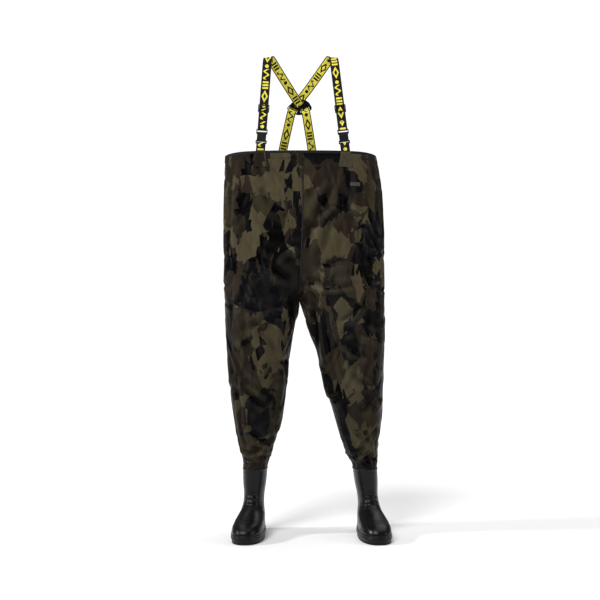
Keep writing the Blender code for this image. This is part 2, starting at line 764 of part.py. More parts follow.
def build_adjuster(side):
    """A three-bar slider: two bars in front of the webbing and one behind, between two rails."""
    matrix, _ = front_line(side)
    matrix = matrix @ Matrix.Translation((0, 0, ADJUSTER_ABOVE_HEM))
    name = SIDE_NAMES[side] + "_adjuster"
    face = -(WEBBING_THICKNESS / 2 + CLEARANCE)
    half_width = HALF_SLOT + EAR
    half_height = ADJUSTER_HEIGHT / 2
    rear = ADJUSTER_BAR_Y + BAR_RADIUS
    low = (-half_width, face - ADJUSTER_FRONT, -half_height)
    obj = box(name, low, (half_width, rear, half_height), PLASTIC, matrix, 0.0009)
    beyond = 0.02
    high = (HALF_SLOT, beyond, beyond)
    boolean(obj, box(name + "_channel", (-HALF_SLOT, face, -beyond), high, None, matrix))
    open_half = half_height - ADJUSTER_BAR
    low, high = (-HALF_SLOT, -beyond, -open_half), (HALF_SLOT, beyond, open_half)
    boolean(obj, box(name + "_window", low, high, None, matrix))
    middle = bar(name + "_bar", 2 * HALF_SLOT + EAR, BAR_RADIUS, (0, ADJUSTER_BAR_Y, 0), matrix)
    boolean(obj, middle, "UNION")


def build_socket(side):
    """The buckle's lower half: a box open at the top with a window in each side, and a bar for the tab."""
    matrix, _ = front_line(side)
    matrix = matrix @ Matrix.Translation((0, 0, SOCKET_ABOVE_HEM))
    name = SIDE_NAMES[side] + "_buckle_socket"
    half_box = SOCKET_BOX_WIDTH / 2
    half_deep = SOCKET_BOX_DEPTH / 2
    half_width = HALF_SLOT + EAR
    beyond = 0.03
    low = (-half_box, BAR_Y - half_deep, SOCKET_FLANGE - 0.004)
    obj = box(name, low, (half_box, BAR_Y + half_deep, SOCKET_LENGTH), PLASTIC, matrix, 0.0012)
    flange = box(
        name + "_flange", (-half_width, BAR_Y - PLUG_DEPTH / 2, 0),
        (half_width, BAR_Y + PLUG_DEPTH / 2, SOCKET_FLANGE), None, matrix, 0.0009,
    )
    boolean(obj, flange, "UNION")
    slot_top = SOCKET_FLANGE - 0.0045
    slot = box(name + "_slot", (-HALF_SLOT, -beyond, -beyond), (HALF_SLOT, beyond, slot_top), None, matrix)
    boolean(obj, slot)
    inner = half_box - SOCKET_WALL
    deep = PLUG_DEPTH / 2 + 0.0003
    high = (inner, BAR_Y + deep, SOCKET_LENGTH + beyond)
    cavity = box(name + "_cavity", (-inner, BAR_Y - deep, SOCKET_FLANGE), high, None, matrix)
    boolean(obj, cavity)
    low = (-beyond, BAR_Y - deep + 0.0004, WINDOW_LOW)
    high = (beyond, BAR_Y + deep - 0.0004, WINDOW_HIGH)
    boolean(obj, box(name + "_windows", low, high, None, matrix))
    middle = (0, BAR_Y, SOCKET_BAR_Z - SOCKET_ABOVE_HEM)
    lower = bar(name + "_bar", 2 * HALF_SLOT + EAR, BAR_RADIUS, middle, matrix)
    boolean(obj, lower, "UNION")


def build_plug(side):
    """The buckle's upper half: two ears with the strap's bar, a base, and the guide tongue."""
    matrix, _ = front_line(side)
    matrix = matrix @ Matrix.Translation((0, 0, PLUG_START))
    name = SIDE_NAMES[side] + "_buckle_plug"
    half_width = HALF_SLOT + EAR
    half_deep = PLUG_DEPTH / 2
    beyond = 0.03
    high = (half_width, BAR_Y + half_deep, PLUG_LENGTH)
    obj = box(name, (-half_width, BAR_Y - half_deep, 0), high, PLASTIC, matrix, 0.0009)
    slot = box(name + "_slot", (-HALF_SLOT, -beyond, PLUG_BASE), (HALF_SLOT, beyond, beyond), None, matrix)
    boolean(obj, slot)
    middle = (0, BAR_Y, PLUG_BAR_Z - PLUG_START)
    upper = bar(name + "_bar", 2 * HALF_SLOT + EAR, BAR_RADIUS, middle, matrix)
    boolean(obj, upper, "UNION")
    low = (-TONGUE_WIDTH / 2, BAR_Y - half_deep + 0.0006, -ARM_LENGTH + 0.002)
    high = (TONGUE_WIDTH / 2, BAR_Y + half_deep - 0.0006, 0.003)
    tongue = box(name + "_tongue", low, high, None, matrix)
    boolean(obj, tongue, "UNION")


def build_arm(side, hand):
    """A springy arm of the plug, whose pad shows in the socket's window. hand is -1 or 1 along local X."""
    matrix, _ = front_line(side)
    matrix = matrix @ Matrix.Translation((hand * arm_root_x(), BAR_Y, PLUG_START - CLEARANCE))
    outer = "outer" if hand == side else "inner"
    root = ARM_THICKNESS / 2
    reach = ARM_REACH - arm_root_x()
    pad_top = WINDOW_HIGH - SOCKET_LENGTH - 2 * CLEARANCE
    pad_low = WINDOW_LOW - SOCKET_LENGTH + 0.0006
    outline = (
        (-root, 0), (root, 0), (root, pad_top), (reach, pad_top), (reach, pad_low + 0.003),
        (reach - 0.0022, pad_low), (root, -ARM_LENGTH), (-root, -ARM_LENGTH),
    )
    upright = Matrix.Rotation(math.pi / 2, 4, "X")
    outline = [(hand * x, z) for x, z in outline]
    plate(f"{SIDE_NAMES[side]}_buckle_{outer}_arm", outline, PLUG_DEPTH - 0.0016, PLASTIC, matrix @ upright)


def arm_root_x():
    return SOCKET_BOX_WIDTH / 2 - SOCKET_WALL - ARM_THICKNESS / 2 - 0.0010


def build_cross_plate():
    """The moulded plate that holds the crossed straps: one slanted slot above, two below."""
    upright = Matrix.Translation(above_hem((0, PLATE_FRONT + PLATE_THICKNESS / 2, 0)))
    upright @= Matrix.Rotation(math.pi / 2, 4, "X")
    outline = [(x * WEBBING / PLATE_WEBBING, z) for x, z in PLATE_OUTLINE]
    obj = plate("cross_plate", outline, PLATE_THICKNESS, PLASTIC, upright)
    slots = ((BACK_RIGHT[4], BACK_RIGHT[5]), (BACK_RIGHT[8], BACK_RIGHT[9]), (BACK_LEFT[7], BACK_LEFT[8]))
    for i, (before, after) in enumerate(slots):
        middle = (above_hem(before) + above_hem(after)) / 2
        along = Vector(after) - Vector(before)
        slant = math.atan2(along.x, along.z)
        half_long = SLOT_LENGTH / 2
        half_high = math.hypot(along.x, along.z) / 2 + SLOT_MARGIN
        place = Matrix.Translation(middle) @ Matrix.Rotation(slant, 4, "Y")
        low = (-half_long, -0.02, -half_high)
        boolean(obj, box(f"cross_plate_slot_{i}", low, (half_long, 0.02, half_high), None, place))


def patch(name, middle_x, top, widths, height, look, face, thickness=PATCH_THICKNESS):
    """A patch on the torso's outside, as wide as widths at its top and bottom."""
    rows = []
    columns, lines = 4, 3
    for i in range(lines + 1):
        z = top - height * i / lines
        width = widths[0] + (widths[1] - widths[0]) * i / lines
        xs = [middle_x + width * (j / columns - 0.5) for j in range(columns + 1)]
        rows.append([Vector((x, torso_y(x, z, face) + face * 2 * CLEARANCE, z)) for x in xs])
    sheet(name, rows, thickness, look, offset=1.0, flip=face > 0)


def build_patches():
    for side in (RIGHT, LEFT):
        start = SIDE_NAMES[side]
        top = HEM_HEIGHT - 0.003
        front_x = FRONT_LEFT_X if side == LEFT else FRONT_RIGHT_X
        widths = (PATCH_TOP, PATCH_BOTTOM)
        patch(start + "_front_anchor_patch", front_x, top, widths, PATCH_HEIGHT, OLIVE, FRONT)
        back_x = BACK_HEM_LEFT_X if side == LEFT else BACK_HEM_RIGHT_X
        patch(start + "_back_anchor_patch", back_x, top, widths, PATCH_HEIGHT, OLIVE, BACK)
    top = BADGE_Z + BADGE_HEIGHT / 2
    patch("chest_badge", BADGE_X, top, (BADGE_WIDTH, BADGE_WIDTH), BADGE_HEIGHT, BADGE, FRONT)


def stand_on_origin():
    """Moves the frame so that the bounding box stands on the floor with its middle at the origin."""
    bpy.context.view_layer.update()
    graph = bpy.context.evaluated_depsgraph_get()
    corners = []
    for obj in WADERS.objects:
        if obj.type == "MESH":
            solid = obj.evaluated_get(graph)
            corners += [solid.matrix_world @ Vector(corner) for corner in solid.bound_box]
    low = Vector([min(c[k] for c in corners) for k in range(3)])
    high = Vector([max(c[k] for c in corners) for k in range(3)])
    ROOT.location = (-(low.x + high.x) / 2, -(low.y + high.y) / 2, -low.z)


build_panels()
build_hem()
build_tapes()
build_boots()
for wearer_side in (RIGHT, LEFT):
    build_brace(wearer_side)
    build_loop(wearer_side)
    build_tab(wearer_side)
    build_adjuster(wearer_side)
    build_socket(wearer_side)
    build_plug(wearer_side)
    build_arm(wearer_side, 1)
    build_arm(wearer_side, -1)
build_cross_plate()
build_patches()
stand_on_origin()
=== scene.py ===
"""Looks of the chest waders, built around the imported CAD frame.

Metres, in the row frame: +Z up, the wearer faces -Y, the wearer's right side is at -X. The garment's outer
shape repeats the construction in part.py, because the fabric is made again here as fine cloth.
"""

import math

import bmesh
import bpy
import numpy as np
from mathutils import Matrix, Vector, noise
from mathutils.bvhtree import BVHTree


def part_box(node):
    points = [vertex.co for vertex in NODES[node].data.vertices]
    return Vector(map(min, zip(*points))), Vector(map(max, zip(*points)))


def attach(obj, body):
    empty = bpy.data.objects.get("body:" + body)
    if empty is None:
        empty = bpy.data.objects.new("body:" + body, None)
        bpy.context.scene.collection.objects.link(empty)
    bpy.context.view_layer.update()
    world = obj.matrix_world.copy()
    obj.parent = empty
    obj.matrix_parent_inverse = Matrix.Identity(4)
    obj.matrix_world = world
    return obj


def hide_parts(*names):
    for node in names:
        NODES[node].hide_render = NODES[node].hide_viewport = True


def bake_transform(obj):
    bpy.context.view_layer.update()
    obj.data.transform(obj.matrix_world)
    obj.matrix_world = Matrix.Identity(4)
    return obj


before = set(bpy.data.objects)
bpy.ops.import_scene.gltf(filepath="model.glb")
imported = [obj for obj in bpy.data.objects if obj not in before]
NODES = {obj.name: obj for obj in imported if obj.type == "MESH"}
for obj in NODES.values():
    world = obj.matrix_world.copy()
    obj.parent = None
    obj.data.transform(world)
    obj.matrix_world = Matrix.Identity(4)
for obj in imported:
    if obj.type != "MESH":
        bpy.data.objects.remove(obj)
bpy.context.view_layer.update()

# ---------------------------------------------------------------- sizes, as in part.py
HEM_HEIGHT = 1.350
CROTCH_HEIGHT = 0.845
BOOT_HEIGHT = 0.236
RISE = 0.130
HEM_BAND = 0.030
TORSO_ROUNDNESS = 2.4
LEG_ROUNDNESS = 2.15
TORSO = (
    (0.00, -0.266, 0.011, 0.270, 0.122),
    (0.12, -0.269, 0.011, 0.284, 0.124),
    (0.45, -0.269, 0.009, 0.297, 0.130),
    (0.72, -0.269, 0.004, 0.299, 0.138),
    (1.00, -0.264, -0.002, 0.300, 0.142),
)
RIGHT_LEG = (
    (0.00, -0.264, -0.002, 0.132, 0.000),
    (0.25, -0.257, -0.029, 0.122, 0.000),
    (0.53, -0.244, -0.050, 0.106, 0.002),
    (0.70, -0.229, -0.064, 0.094, 0.005),
    (0.88, -0.212, -0.098, 0.074, 0.010),
    (1.00, -0.203, -0.117, 0.062, 0.012),
)
LEFT_LEG = (
    (0.00, 0.300, -0.002, 0.132, 0.000),
    (0.25, 0.303, 0.045, 0.122, 0.000),
    (0.53, 0.297, 0.096, 0.106, 0.002),
    (0.70, 0.292, 0.126, 0.094, 0.005),
    (0.88, 0.279, 0.160, 0.074, 0.010),
    (1.00, 0.277, 0.185, 0.062, 0.012),
)
BOOT_BLEND = 0.93
SOLE_THICKNESS = 0.024
CLEARANCE = 0.0003
BOOT_WALL = 0.0030
BOOT = (
    (BOOT_HEIGHT, -0.062, 0.062, 0.0430, 0.00),
    (0.185, -0.058, 0.058, 0.0400, 0.00),
    (0.135, -0.060, 0.056, 0.0350, 0.00),
    (0.108, -0.072, 0.059, 0.0360, 0.03),
    (0.088, -0.098, 0.065, 0.0400, 0.13),
    (0.073, -0.138, 0.069, 0.0450, 0.22),
    (0.061, -0.180, 0.072, 0.0480, 0.27),
    (0.048, -0.203, 0.074, 0.0495, 0.30),
    (0.036, -0.211, 0.075, 0.0500, 0.30),
    (SOLE_THICKNESS + CLEARANCE, -0.212, 0.075, 0.0495, 0.30),
)
RIGHT_ANKLE_X, LEFT_ANKLE_X, ANKLE_Y = -0.1645, 0.2440, 0.012
RIGHT_TOP_X, LEFT_TOP_X = -0.160, 0.2315
TOE_OUT = math.radians(8)
WEBBING, WEBBING_THICKNESS = 0.032, 0.0014
BAR_RADIUS = 0.0013
FRONT_RIGHT_X, FRONT_LEFT_X = -0.138, 0.159
SHOULDER_RIGHT, SHOULDER_LEFT = (-0.1165, -0.030, 0.322), (0.1225, -0.030, 0.322)
SHOULDER_BEND = 0.040
HEM_THICKNESS, HEM_TUCK = 0.0030, 0.0022
TAB_BELOW_HEM = 0.045
SOCKET_ABOVE_HEM, SOCKET_LENGTH = 0.030, 0.035
ADJUSTER_ABOVE_HEM = 0.160
PLUG_LENGTH, PLUG_BASE, PLUG_TRAVEL = 0.0182, 0.0070, 0.035
PLATE_FRONT, PLATE_THICKNESS, PLATE_LEFT = 0.106, 0.003, -0.0476
BACK_RIGHT = (
    (-0.0880, 0.0280, 0.3220), (-0.0459, 0.0690, 0.2610), (-0.0165, 0.0975, 0.2200), (-0.0105, 0.1040, 0.2110),
    (-0.0066, 0.1045, 0.2055), (-0.0004, 0.1106, 0.1980), (0.0050, 0.1108, 0.1930), (0.0105, 0.1108, 0.1890),
    (0.0164, 0.1106, 0.1830), (0.0184, 0.1043, 0.1770), (0.0206, 0.1042, 0.1700), (0.0240, 0.1056, 0.1570),
    (0.0424, 0.1165, 0.0430),
)
BACK_LEFT = (
    (0.0880, 0.0280, 0.3220), (0.0400, 0.0785, 0.2630), (0.0090, 0.1110, 0.2280), (-0.0015, 0.1130, 0.2155),
    (-0.0085, 0.1130, 0.2060), (-0.0160, 0.1130, 0.1960), (-0.0205, 0.1130, 0.1900), (-0.0258, 0.1120, 0.1827),
    (-0.0286, 0.1043, 0.1765), (-0.0312, 0.1042, 0.1700), (-0.0345, 0.1056, 0.1580), (-0.0608, 0.1165, 0.0430),
)
BACK_HEM_RIGHT_X, BACK_HEM_LEFT_X = 0.0480, -0.0660
BADGE_X, BADGE_Z, BADGE_WIDTH, BADGE_HEIGHT = 0.192, 1.236, 0.034, 0.012

RIGHT, LEFT, FRONT, BACK = -1, 1, -1, 1
SIDE_NAMES = {RIGHT: "right", LEFT: "left"}
FACE_NAMES = {FRONT: "front", BACK: "back"}
UP = Vector((0, 0, 1))

plate_low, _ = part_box("cross_plate")
SHIFT = Vector((plate_low.x - PLATE_LEFT, plate_low.y - PLATE_FRONT, 0))


# ---------------------------------------------------------------- shader helpers
class Signal:
    """A node output that ordinary arithmetic turns into Math nodes."""

    def __init__(self, net, socket):
        self.net, self.socket = net, socket

    def __add__(self, other):
        return self.net.math("ADD", self, other)

    def __sub__(self, other):
        return self.net.math("SUBTRACT", self, other)

    def __mul__(self, other):
        return self.net.math("MULTIPLY", self, other)

    def __truediv__(self, other):
        return self.net.math("DIVIDE", self, other)

    def __abs__(self):
        return self.net.math("ABSOLUTE", self)

    def below(self, limit):
        return self.net.math("LESS_THAN", self, limit)

    def above(self, limit):
        return self.net.math("GREATER_THAN", self, limit)

    def either(self, other):
        return self.net.math("MAXIMUM", self, other)

    def repeat(self, period):
        return self.net.math("FLOORED_MODULO", self, period)


class Net:
    """The nodes of one procedural material."""

    def __init__(self, name, roughness=0.5, **sockets):
        self.material = bpy.data.materials.new(name)
        self.material.use_nodes = True
        self.tree = self.material.node_tree
        self.shader = self.tree.nodes["Principled BSDF"]
        self.set("Roughness", roughness)
        for socket, value in sockets.items():
            self.set(socket.replace("_", " "), value)

    def set(self, socket, value):
        target = self.shader.inputs[socket]
        if isinstance(value, Signal):
            self.tree.links.new(value.socket, target)
        else:
            target.default_value = value

    def feed(self, target, value):
        if isinstance(value, Signal):
            self.tree.links.new(value.socket, target)
        elif value is not None:
            target.default_value = value

    def node(self, kind, output, inputs=(), **settings):
        made = self.tree.nodes.new(kind)
        for key, value in settings.items():
            setattr(made, key, value)
        for key, value in dict(inputs).items():
            self.feed(made.inputs[key], value)
        return Signal(self, made.outputs[output])

    def math(self, operation, *values):
        return self.node("ShaderNodeMath", 0, dict(enumerate(values)), operation=operation)

    def place(self, kind="Object"):
        return self.node("ShaderNodeTexCoord", kind)

    def moved(self, coords, offset=(0, 0, 0), turn=(0, 0, 0), scale=(1, 1, 1)):
        inputs = {"Vector": coords, "Location": offset, "Rotation": turn, "Scale": scale}
        return self.node("ShaderNodeMapping", 0, inputs)

    def axes(self, coords):
        made = self.tree.nodes.new("ShaderNodeSeparateXYZ")
        self.feed(made.inputs[0], coords)
        return [Signal(self, out) for out in made.outputs]

    def vector(self, operation, a, b):
        return self.node("ShaderNodeVectorMath", 0, {0: a, 1: b}, operation=operation)

    def noise(self, coords, scale, detail=2.0, output=0, rough=0.5):
        inputs = {"Vector": coords, "Scale": scale, "Detail": detail, "Roughness": rough}
        return self.node("ShaderNodeTexNoise", output, inputs)

    def cells(self, coords, scale, output="Color", distance="EUCLIDEAN"):
        return self.node("ShaderNodeTexVoronoi", output, {"Vector": coords, "Scale": scale}, distance=distance)

    def steps(self, value, stops, interpolation="LINEAR"):
        made = self.tree.nodes.new("ShaderNodeValToRGB")
        ramp = made.color_ramp
        ramp.interpolation = interpolation
        while len(ramp.elements) < len(stops):
            ramp.elements.new(0.5)
        for element, (position, colour) in zip(ramp.elements, stops):
            element.position = position
            element.color = (*colour, 1)
        self.feed(made.inputs[0], value)
        return Signal(self, made.outputs[0])

    def blend(self, share, a, b, kind="MIX"):
        made = self.tree.nodes.new("ShaderNodeMix")
        made.data_type, made.blend_type = "RGBA", kind
        for index, value in ((0, share), (6, a), (7, b)):
            if isinstance(value, tuple):
                value = (*value, 1)
            self.feed(made.inputs[index], value)
        return Signal(self, made.outputs[2])

    def bump(self, height, distance, strength=1.0, under=None):
        inputs = {"Height": height, "Distance": distance, "Strength": strength}
        if under is not None:
            inputs["Normal"] = under
        return self.node("ShaderNodeBump", 0, inputs)


def srgb(*values):
    """A linear colour from the 0-255 values of a screen."""
    return tuple(((v / 255 + 0.055) / 1.055) ** 2.4 if v > 10 else v / 255 / 12.92 for v in values)


def weave(net, coords, threads):
    """Height of a plain weave: two crossed sets of threads, so many to the metre."""
    x, y, z = net.axes(coords)
    warp = net.math("SINE", (x + y) * (threads * math.tau))
    weft = net.math("SINE", z * (threads * math.tau))
    return warp * weft


CAMO_TONES = (srgb(2, 2, 4), srgb(11, 11, 15), srgb(39, 32, 26), srgb(49, 43, 31), srgb(73, 66, 49))
# The ground's shards: share up to which each tone is used. Then shards laid over it: tone, share covered,
# cells to the metre, lean and stretch.
CAMO_GROUND = ((0.0, 1), (0.20, 2), (0.42, 3), (0.60, 0), (0.72, 4), (0.86, 2))
CAMO_OVER = (
    (1, 0.16, 13.5, -0.80, 0.52), (4, 0.10, 16.5, 0.95, 0.55), (0, 0.10, 14.5, 0.25, 0.50), (2, 0.12, 15.0, -0.30, 0.60),
)


def camouflage(name, offset, brightness=1.0):
    """Jagged shards in five earth tones on coated nylon."""
    net = Net(name, 0.36, Specular_IOR_Level=0.02, Coat_Weight=0.075, Coat_Roughness=0.22, Coat_IOR=1.4)
    here = net.place()
    shifted = net.moved(here, offset)
    leaning = net.moved(shifted, turn=(0, 1.0, 0), scale=(1.0, 1.0, 0.7))
    splinters = net.vector("SUBTRACT", net.cells(leaning, 24), (0.5, 0.5, 0.5))
    teeth = net.vector("SUBTRACT", net.cells(net.moved(shifted, turn=(0, -0.9, 0), scale=(1, 1, 0.7)), 70), (0.5,) * 3)
    wander = net.vector("SUBTRACT", net.noise(shifted, 5, 1, 1), (0.5, 0.5, 0.5))
    where = net.vector("ADD", shifted, net.vector("MULTIPLY", splinters, (0.040, 0.040, 0.030)))
    where = net.vector("ADD", where, net.vector("MULTIPLY", teeth, (0.004, 0.004, 0.004)))
    where = net.vector("ADD", where, net.vector("MULTIPLY", wander, (0.035, 0.035, 0.035)))
    spot = net.moved(where, turn=(0, 0.5, 0), scale=(1.0, 1.0, 0.62))
    tone = net.axes(net.cells(spot, 16.0))[0]
    colour = net.steps(tone, tuple((at, CAMO_TONES[k]) for at, k in CAMO_GROUND), "CONSTANT")
    for i, (tone, share, scale, lean, stretch) in enumerate(CAMO_OVER):
        spot = net.moved(where, (0.31 * i + 0.2, 0.17 * i, 0.47 * i), (0, lean, 0), (1.0, 1.0, stretch))
        mask = net.axes(net.cells(spot, scale))[0].below(share)
        colour = net.blend(mask, colour, CAMO_TONES[tone])
    mottle = net.noise(net.moved(here, scale=(1, 1, 0.35)), 28, 4)
    colour = net.blend(1.0, colour, net.steps(mottle, ((0.25, (0.80,) * 3), (0.75, (1.16,) * 3))), "MULTIPLY")
    # Ridges are lightened towards khaki-grey, as wear and as a painted highlight; grooves are darkened to a quarter,
    # as painted shade in the creases.
    wear_highlight_and_crease_shade_mask = net.node("ShaderNodeAttribute", "Fac", attribute_name="wear_highlight_and_crease_shade", attribute_type="GEOMETRY")
    colour = net.blend(wear_highlight_and_crease_shade_mask, colour, net.blend(0.24, colour, srgb(110, 103, 84)))
    colour = net.blend(wear_highlight_and_crease_shade_mask * -1.0, colour, net.blend(1.0, colour, (0.25,) * 3, "MULTIPLY"))
    # Painted shade: darker towards the bottom, down to 0.64 below about 0.42 m and back to full by 0.95 m; brightness
    # scales the whole.
    painted_leg_shade = net.steps(net.axes(here)[2] / 1.4, ((0.30, (0.64 * brightness,) * 3), (0.68, (brightness,) * 3)))
    colour = net.blend(1.0, colour, painted_leg_shade, "MULTIPLY")
    net.set("Base Color", colour)
    net.set("Roughness", net.noise(here, 60, 3) * 0.16 + 0.30)
    coarse = net.noise(net.moved(here, scale=(1, 1, 0.5)), 110, 3)
    crease = abs(net.noise(net.moved(here, turn=(0, 0.6, 0), scale=(1, 1, 0.45)), 17, 2) - 0.5) * 9.0
    crease = net.bump(crease.below(1.0) * (crease - 1.0), 0.004, 0.8)
    net.set("Normal", net.bump(weave(net, here, 1400), 0.0002, 0.35, net.bump(coarse, 0.0008, 0.45, crease)))
    return net.material


def plain_fabric(name, colour, roughness=0.6, threads=900):
    net = Net(name, roughness, Specular_IOR_Level=0.2)
    here = net.place()
    mottle = net.steps(net.noise(here, 70, 4), ((0.3, tuple(0.7 * c for c in colour)), (0.7, colour)))
    net.set("Base Color", mottle)
    net.set("Normal", net.bump(weave(net, here, threads), 0.0003, 0.5))
    return net.material


def rubber(name, colour, roughness, grain=260, scuffs=0.5):
    """Moulded PVC: satin black with a fine grain, faint flow marks and dusty scuffs."""
    net = Net(name, roughness, Specular_IOR_Level=0.22)
    here = net.place()
    dust = net.noise(net.moved(here, scale=(1, 1, 2.5)), 34, 6, rough=0.62)
    marks = net.steps(dust, ((0.52, (0, 0, 0)), (0.80, (scuffs,) * 3)))
    net.set("Base Color", net.blend(marks, colour, tuple(c * 2.0 + 0.006 for c in colour)))
    net.set("Roughness", net.noise(here, 45, 4) * 0.22 + (roughness - 0.11))
    net.set("Normal", net.bump(net.noise(here, grain, 3), 0.0004, 0.30))
    return net.material


def plastic(name, colour, roughness):
    net = Net(name, roughness, Specular_IOR_Level=0.28)
    here = net.place()
    net.set("Base Color", net.steps(net.noise(here, 90, 3), ((0.3, colour), (0.8, tuple(c * 1.8 for c in colour)))))
    net.set("Roughness", net.noise(here, 180, 4) * 0.16 + (roughness - 0.08))
    net.set("Normal", net.bump(net.noise(here, 1500, 2), 0.00012, 0.4))
    return net.material


def webbing(name, ground, print_colour, border=None, start=0.0):
    """Woven webbing from its UV map: metres across and along. A plain repeating print of lozenges, bars,
    dots and waves is woven in, and the ribs run across."""
    net = Net(name, 0.65, Specular_IOR_Level=0.18)
    across, along, _ = net.axes(net.place("UV"))
    fray = net.noise(net.place("UV"), 900, 2) * 0.0006
    a = abs(across - WEBBING / 2) + fray - 0.0003
    signed = across - WEBBING / 2
    b = (along + start).repeat(0.150)

    def gap(centre):
        return abs(b - centre)

    lozenge = a / 0.0112 + gap(0.025) / 0.0230
    shape = lozenge.below(1.0) * lozenge.above(0.50)
    for centre in (0.056, 0.067, 0.078):
        shape = shape.either(a.below(0.0102) * gap(centre).below(0.0034))
    ripple = abs(signed - net.math("SINE", b * (math.tau / 0.0250)) * 0.0070)
    shape = shape.either(ripple.below(0.0037) * gap(0.1085).below(0.0200))
    shape = shape.either((a * a + gap(0.139) * gap(0.139)).below(0.0064 ** 2))
    colour = net.blend(shape, ground, print_colour)
    if border:
        colour = net.blend(a.above(0.0124), colour, border)
    ribs = net.math("SINE", along * (math.tau / 0.0016)) * 0.5 + 0.5
    rows = net.math("SINE", across * (math.tau / 0.0021)) * 0.5 + 0.5
    height = ribs * rows
    shade = net.steps(height, ((0.0, (0.90,) * 3), (0.6, (1.04,) * 3)))
    colour = net.blend(1.0, colour, shade, "MULTIPLY")
    soil = net.steps(net.noise(net.place(), 42, 5), ((0.30, (0.90, 0.88, 0.84)), (0.60, (1.0,) * 3)))
    net.set("Base Color", net.blend(1.0, colour, soil, "MULTIPLY"))
    net.set("Normal", net.bump(height, 0.0005, 0.7))
    return net.material


# ---------------------------------------------------------------- shape helpers, as in part.py
def between(stations, at, column):
    knots = [s[0] for s in stations]
    values = [s[column] for s in stations]
    slopes = np.gradient(values, knots)
    i = min(max(int(np.searchsorted(knots, at)) - 1, 0), len(knots) - 2)
    span = knots[i + 1] - knots[i]
    t = (at - knots[i]) / span
    return float(
        values[i] * (1 + 2 * t) * (1 - t) ** 2 + slopes[i] * span * t * (1 - t) ** 2
        + values[i + 1] * t * t * (3 - 2 * t) + slopes[i + 1] * span * t * t * (t - 1)
    )


def power(value, exponent):
    return math.copysign(abs(value) ** exponent, value)


def mix(a, b, share):
    return a + (b - a) * share


def smooth(share):
    share = min(max(share, 0.0), 1.0)
    return share * share * (3 - 2 * share)


def bulge(u, roundness):
    return max(0.0, 1 - abs(u) ** roundness) ** (1 / roundness)


def torso_share(height):
    return (HEM_HEIGHT - height) / (HEM_HEIGHT - CROTCH_HEIGHT)


def torso_y(x, height, face):
    share = torso_share(height)
    seam = between(TORSO, share, 2)
    reach = abs(between(TORSO, share, 3 if x > seam else 1) - seam)
    return face * between(TORSO, share, 4) * bulge((x - seam) / reach, TORSO_ROUNDNESS)


def boot_matrix(side):
    x = LEFT_ANKLE_X if side == LEFT else RIGHT_ANKLE_X
    return Matrix.Translation((x, ANKLE_Y, 0)) @ Matrix.Rotation(side * TOE_OUT, 4, "Z")


def boot_lean(side, height):
    ankle, top = (LEFT_ANKLE_X, LEFT_TOP_X) if side == LEFT else (RIGHT_ANKLE_X, RIGHT_TOP_X)
    low = BOOT[3][0]
    return (top - ankle) * max(0.0, height - low) / (BOOT_HEIGHT - low)


def boot_ring(side, height, grow=0.0, angles=()):
    heights = [s[0] for s in BOOT][::-1]
    front, back, half, wider = (
        float(np.interp(height, heights, [s[k] for s in BOOT][::-1])) for k in (1, 2, 3, 4)
    )
    middle, reach = (front + back) / 2, (back - front) / 2 + grow
    half += grow
    ring = []
    for angle in angles:
        x = half * power(math.sin(angle), 0.86) * (1 + wider * math.cos(angle))
        ring.append(Vector((x + boot_lean(side, height), middle - reach * math.cos(angle), height)))
    return ring


def body_point(side, face, across, height, arch):
    """A point of the garment's outer surface, in the CAD's own frame. across runs from the centre or inner
    seam (0) to the side seam (1); arch is 0 in the torso and 1 in the leg."""
    share = min(torso_share(height), 1.0)
    stations = LEFT_LEG if side == LEFT else RIGHT_LEG
    down = min(max((CROTCH_HEIGHT - height) / (CROTCH_HEIGHT - BOOT_HEIGHT), 0.0), 1.0)
    leg = smooth((CROTCH_HEIGHT + RISE - height) / RISE)
    if down > 0:
        inner, outer = between(stations, down, 2), between(stations, down, 1)
    else:
        inner, outer = between(TORSO, share, 2), between(TORSO, share, 3 if side == LEFT else 1)
    depth = mix(between(TORSO, share, 4), between(stations, down, 3), leg)
    torso_u = math.sin(across * math.pi / 2) ** (2 / TORSO_ROUNDNESS)
    leg_u = (1 - power(math.cos(across * math.pi), 2 / LEG_ROUNDNESS)) / 2
    u = mix(torso_u, leg_u, leg)
    flat = mix(bulge(u, TORSO_ROUNDNESS), bulge(max(0.0, 2 * u - 1), LEG_ROUNDNESS), leg)
    pinch = bulge(arch * max(0.0, 1 - 2 * u), LEG_ROUNDNESS)
    y = mix(0.0, between(stations, down, 4), leg) + face * depth * flat * pinch
    point = Vector((mix(inner, outer, u), y, height))
    meet = smooth((down - BOOT_BLEND) / (1 - BOOT_BLEND))
    if meet:
        angle = side * (2 * across - 1) * math.pi / 2
        turned = angle if face == FRONT else math.pi - angle
        cuff = boot_matrix(side) @ boot_ring(side, BOOT_HEIGHT, 0, [turned])[0]
        cuff.z = height
        point = point.lerp(cuff, meet)
    return point


# ---------------------------------------------------------------- mesh helpers
def mesh_object(name, points, faces, materials, smooth_shading=True):
    mesh = bpy.data.meshes.new(name)
    mesh.from_pydata([tuple(p) for p in points], [], faces)
    for material in materials:
        mesh.materials.append(material)
    obj = bpy.data.objects.new(name, mesh)
    bpy.context.scene.collection.objects.link(obj)
    if smooth_shading:
        mesh.shade_smooth()
    return obj


def modify(obj, kind, **settings):
    modifier = obj.modifiers.new(kind.lower(), kind)
    for key, value in settings.items():
        setattr(modifier, key, value)
    return modifier


def grid_faces(rows, columns, ring=False, flip=False):
    faces = []
    for i in range(rows - 1):
        for j in range(columns if ring else columns - 1):
            k = (j + 1) % columns
            face = (i * columns + j, (i + 1) * columns + j, (i + 1) * columns + k, i * columns + k)
            faces.append(face[::-1] if flip else face)
    return faces


# ---------------------------------------------------------------- the fabric body
ROW_STEP = 0.0080
COLUMNS = 42
COLLAR_TUCK = 0.009
# Height above the boot top up to which the cloth lies over the welded band inside it.
BAND_COVER = 0.024
HEM_SAG = 0.007


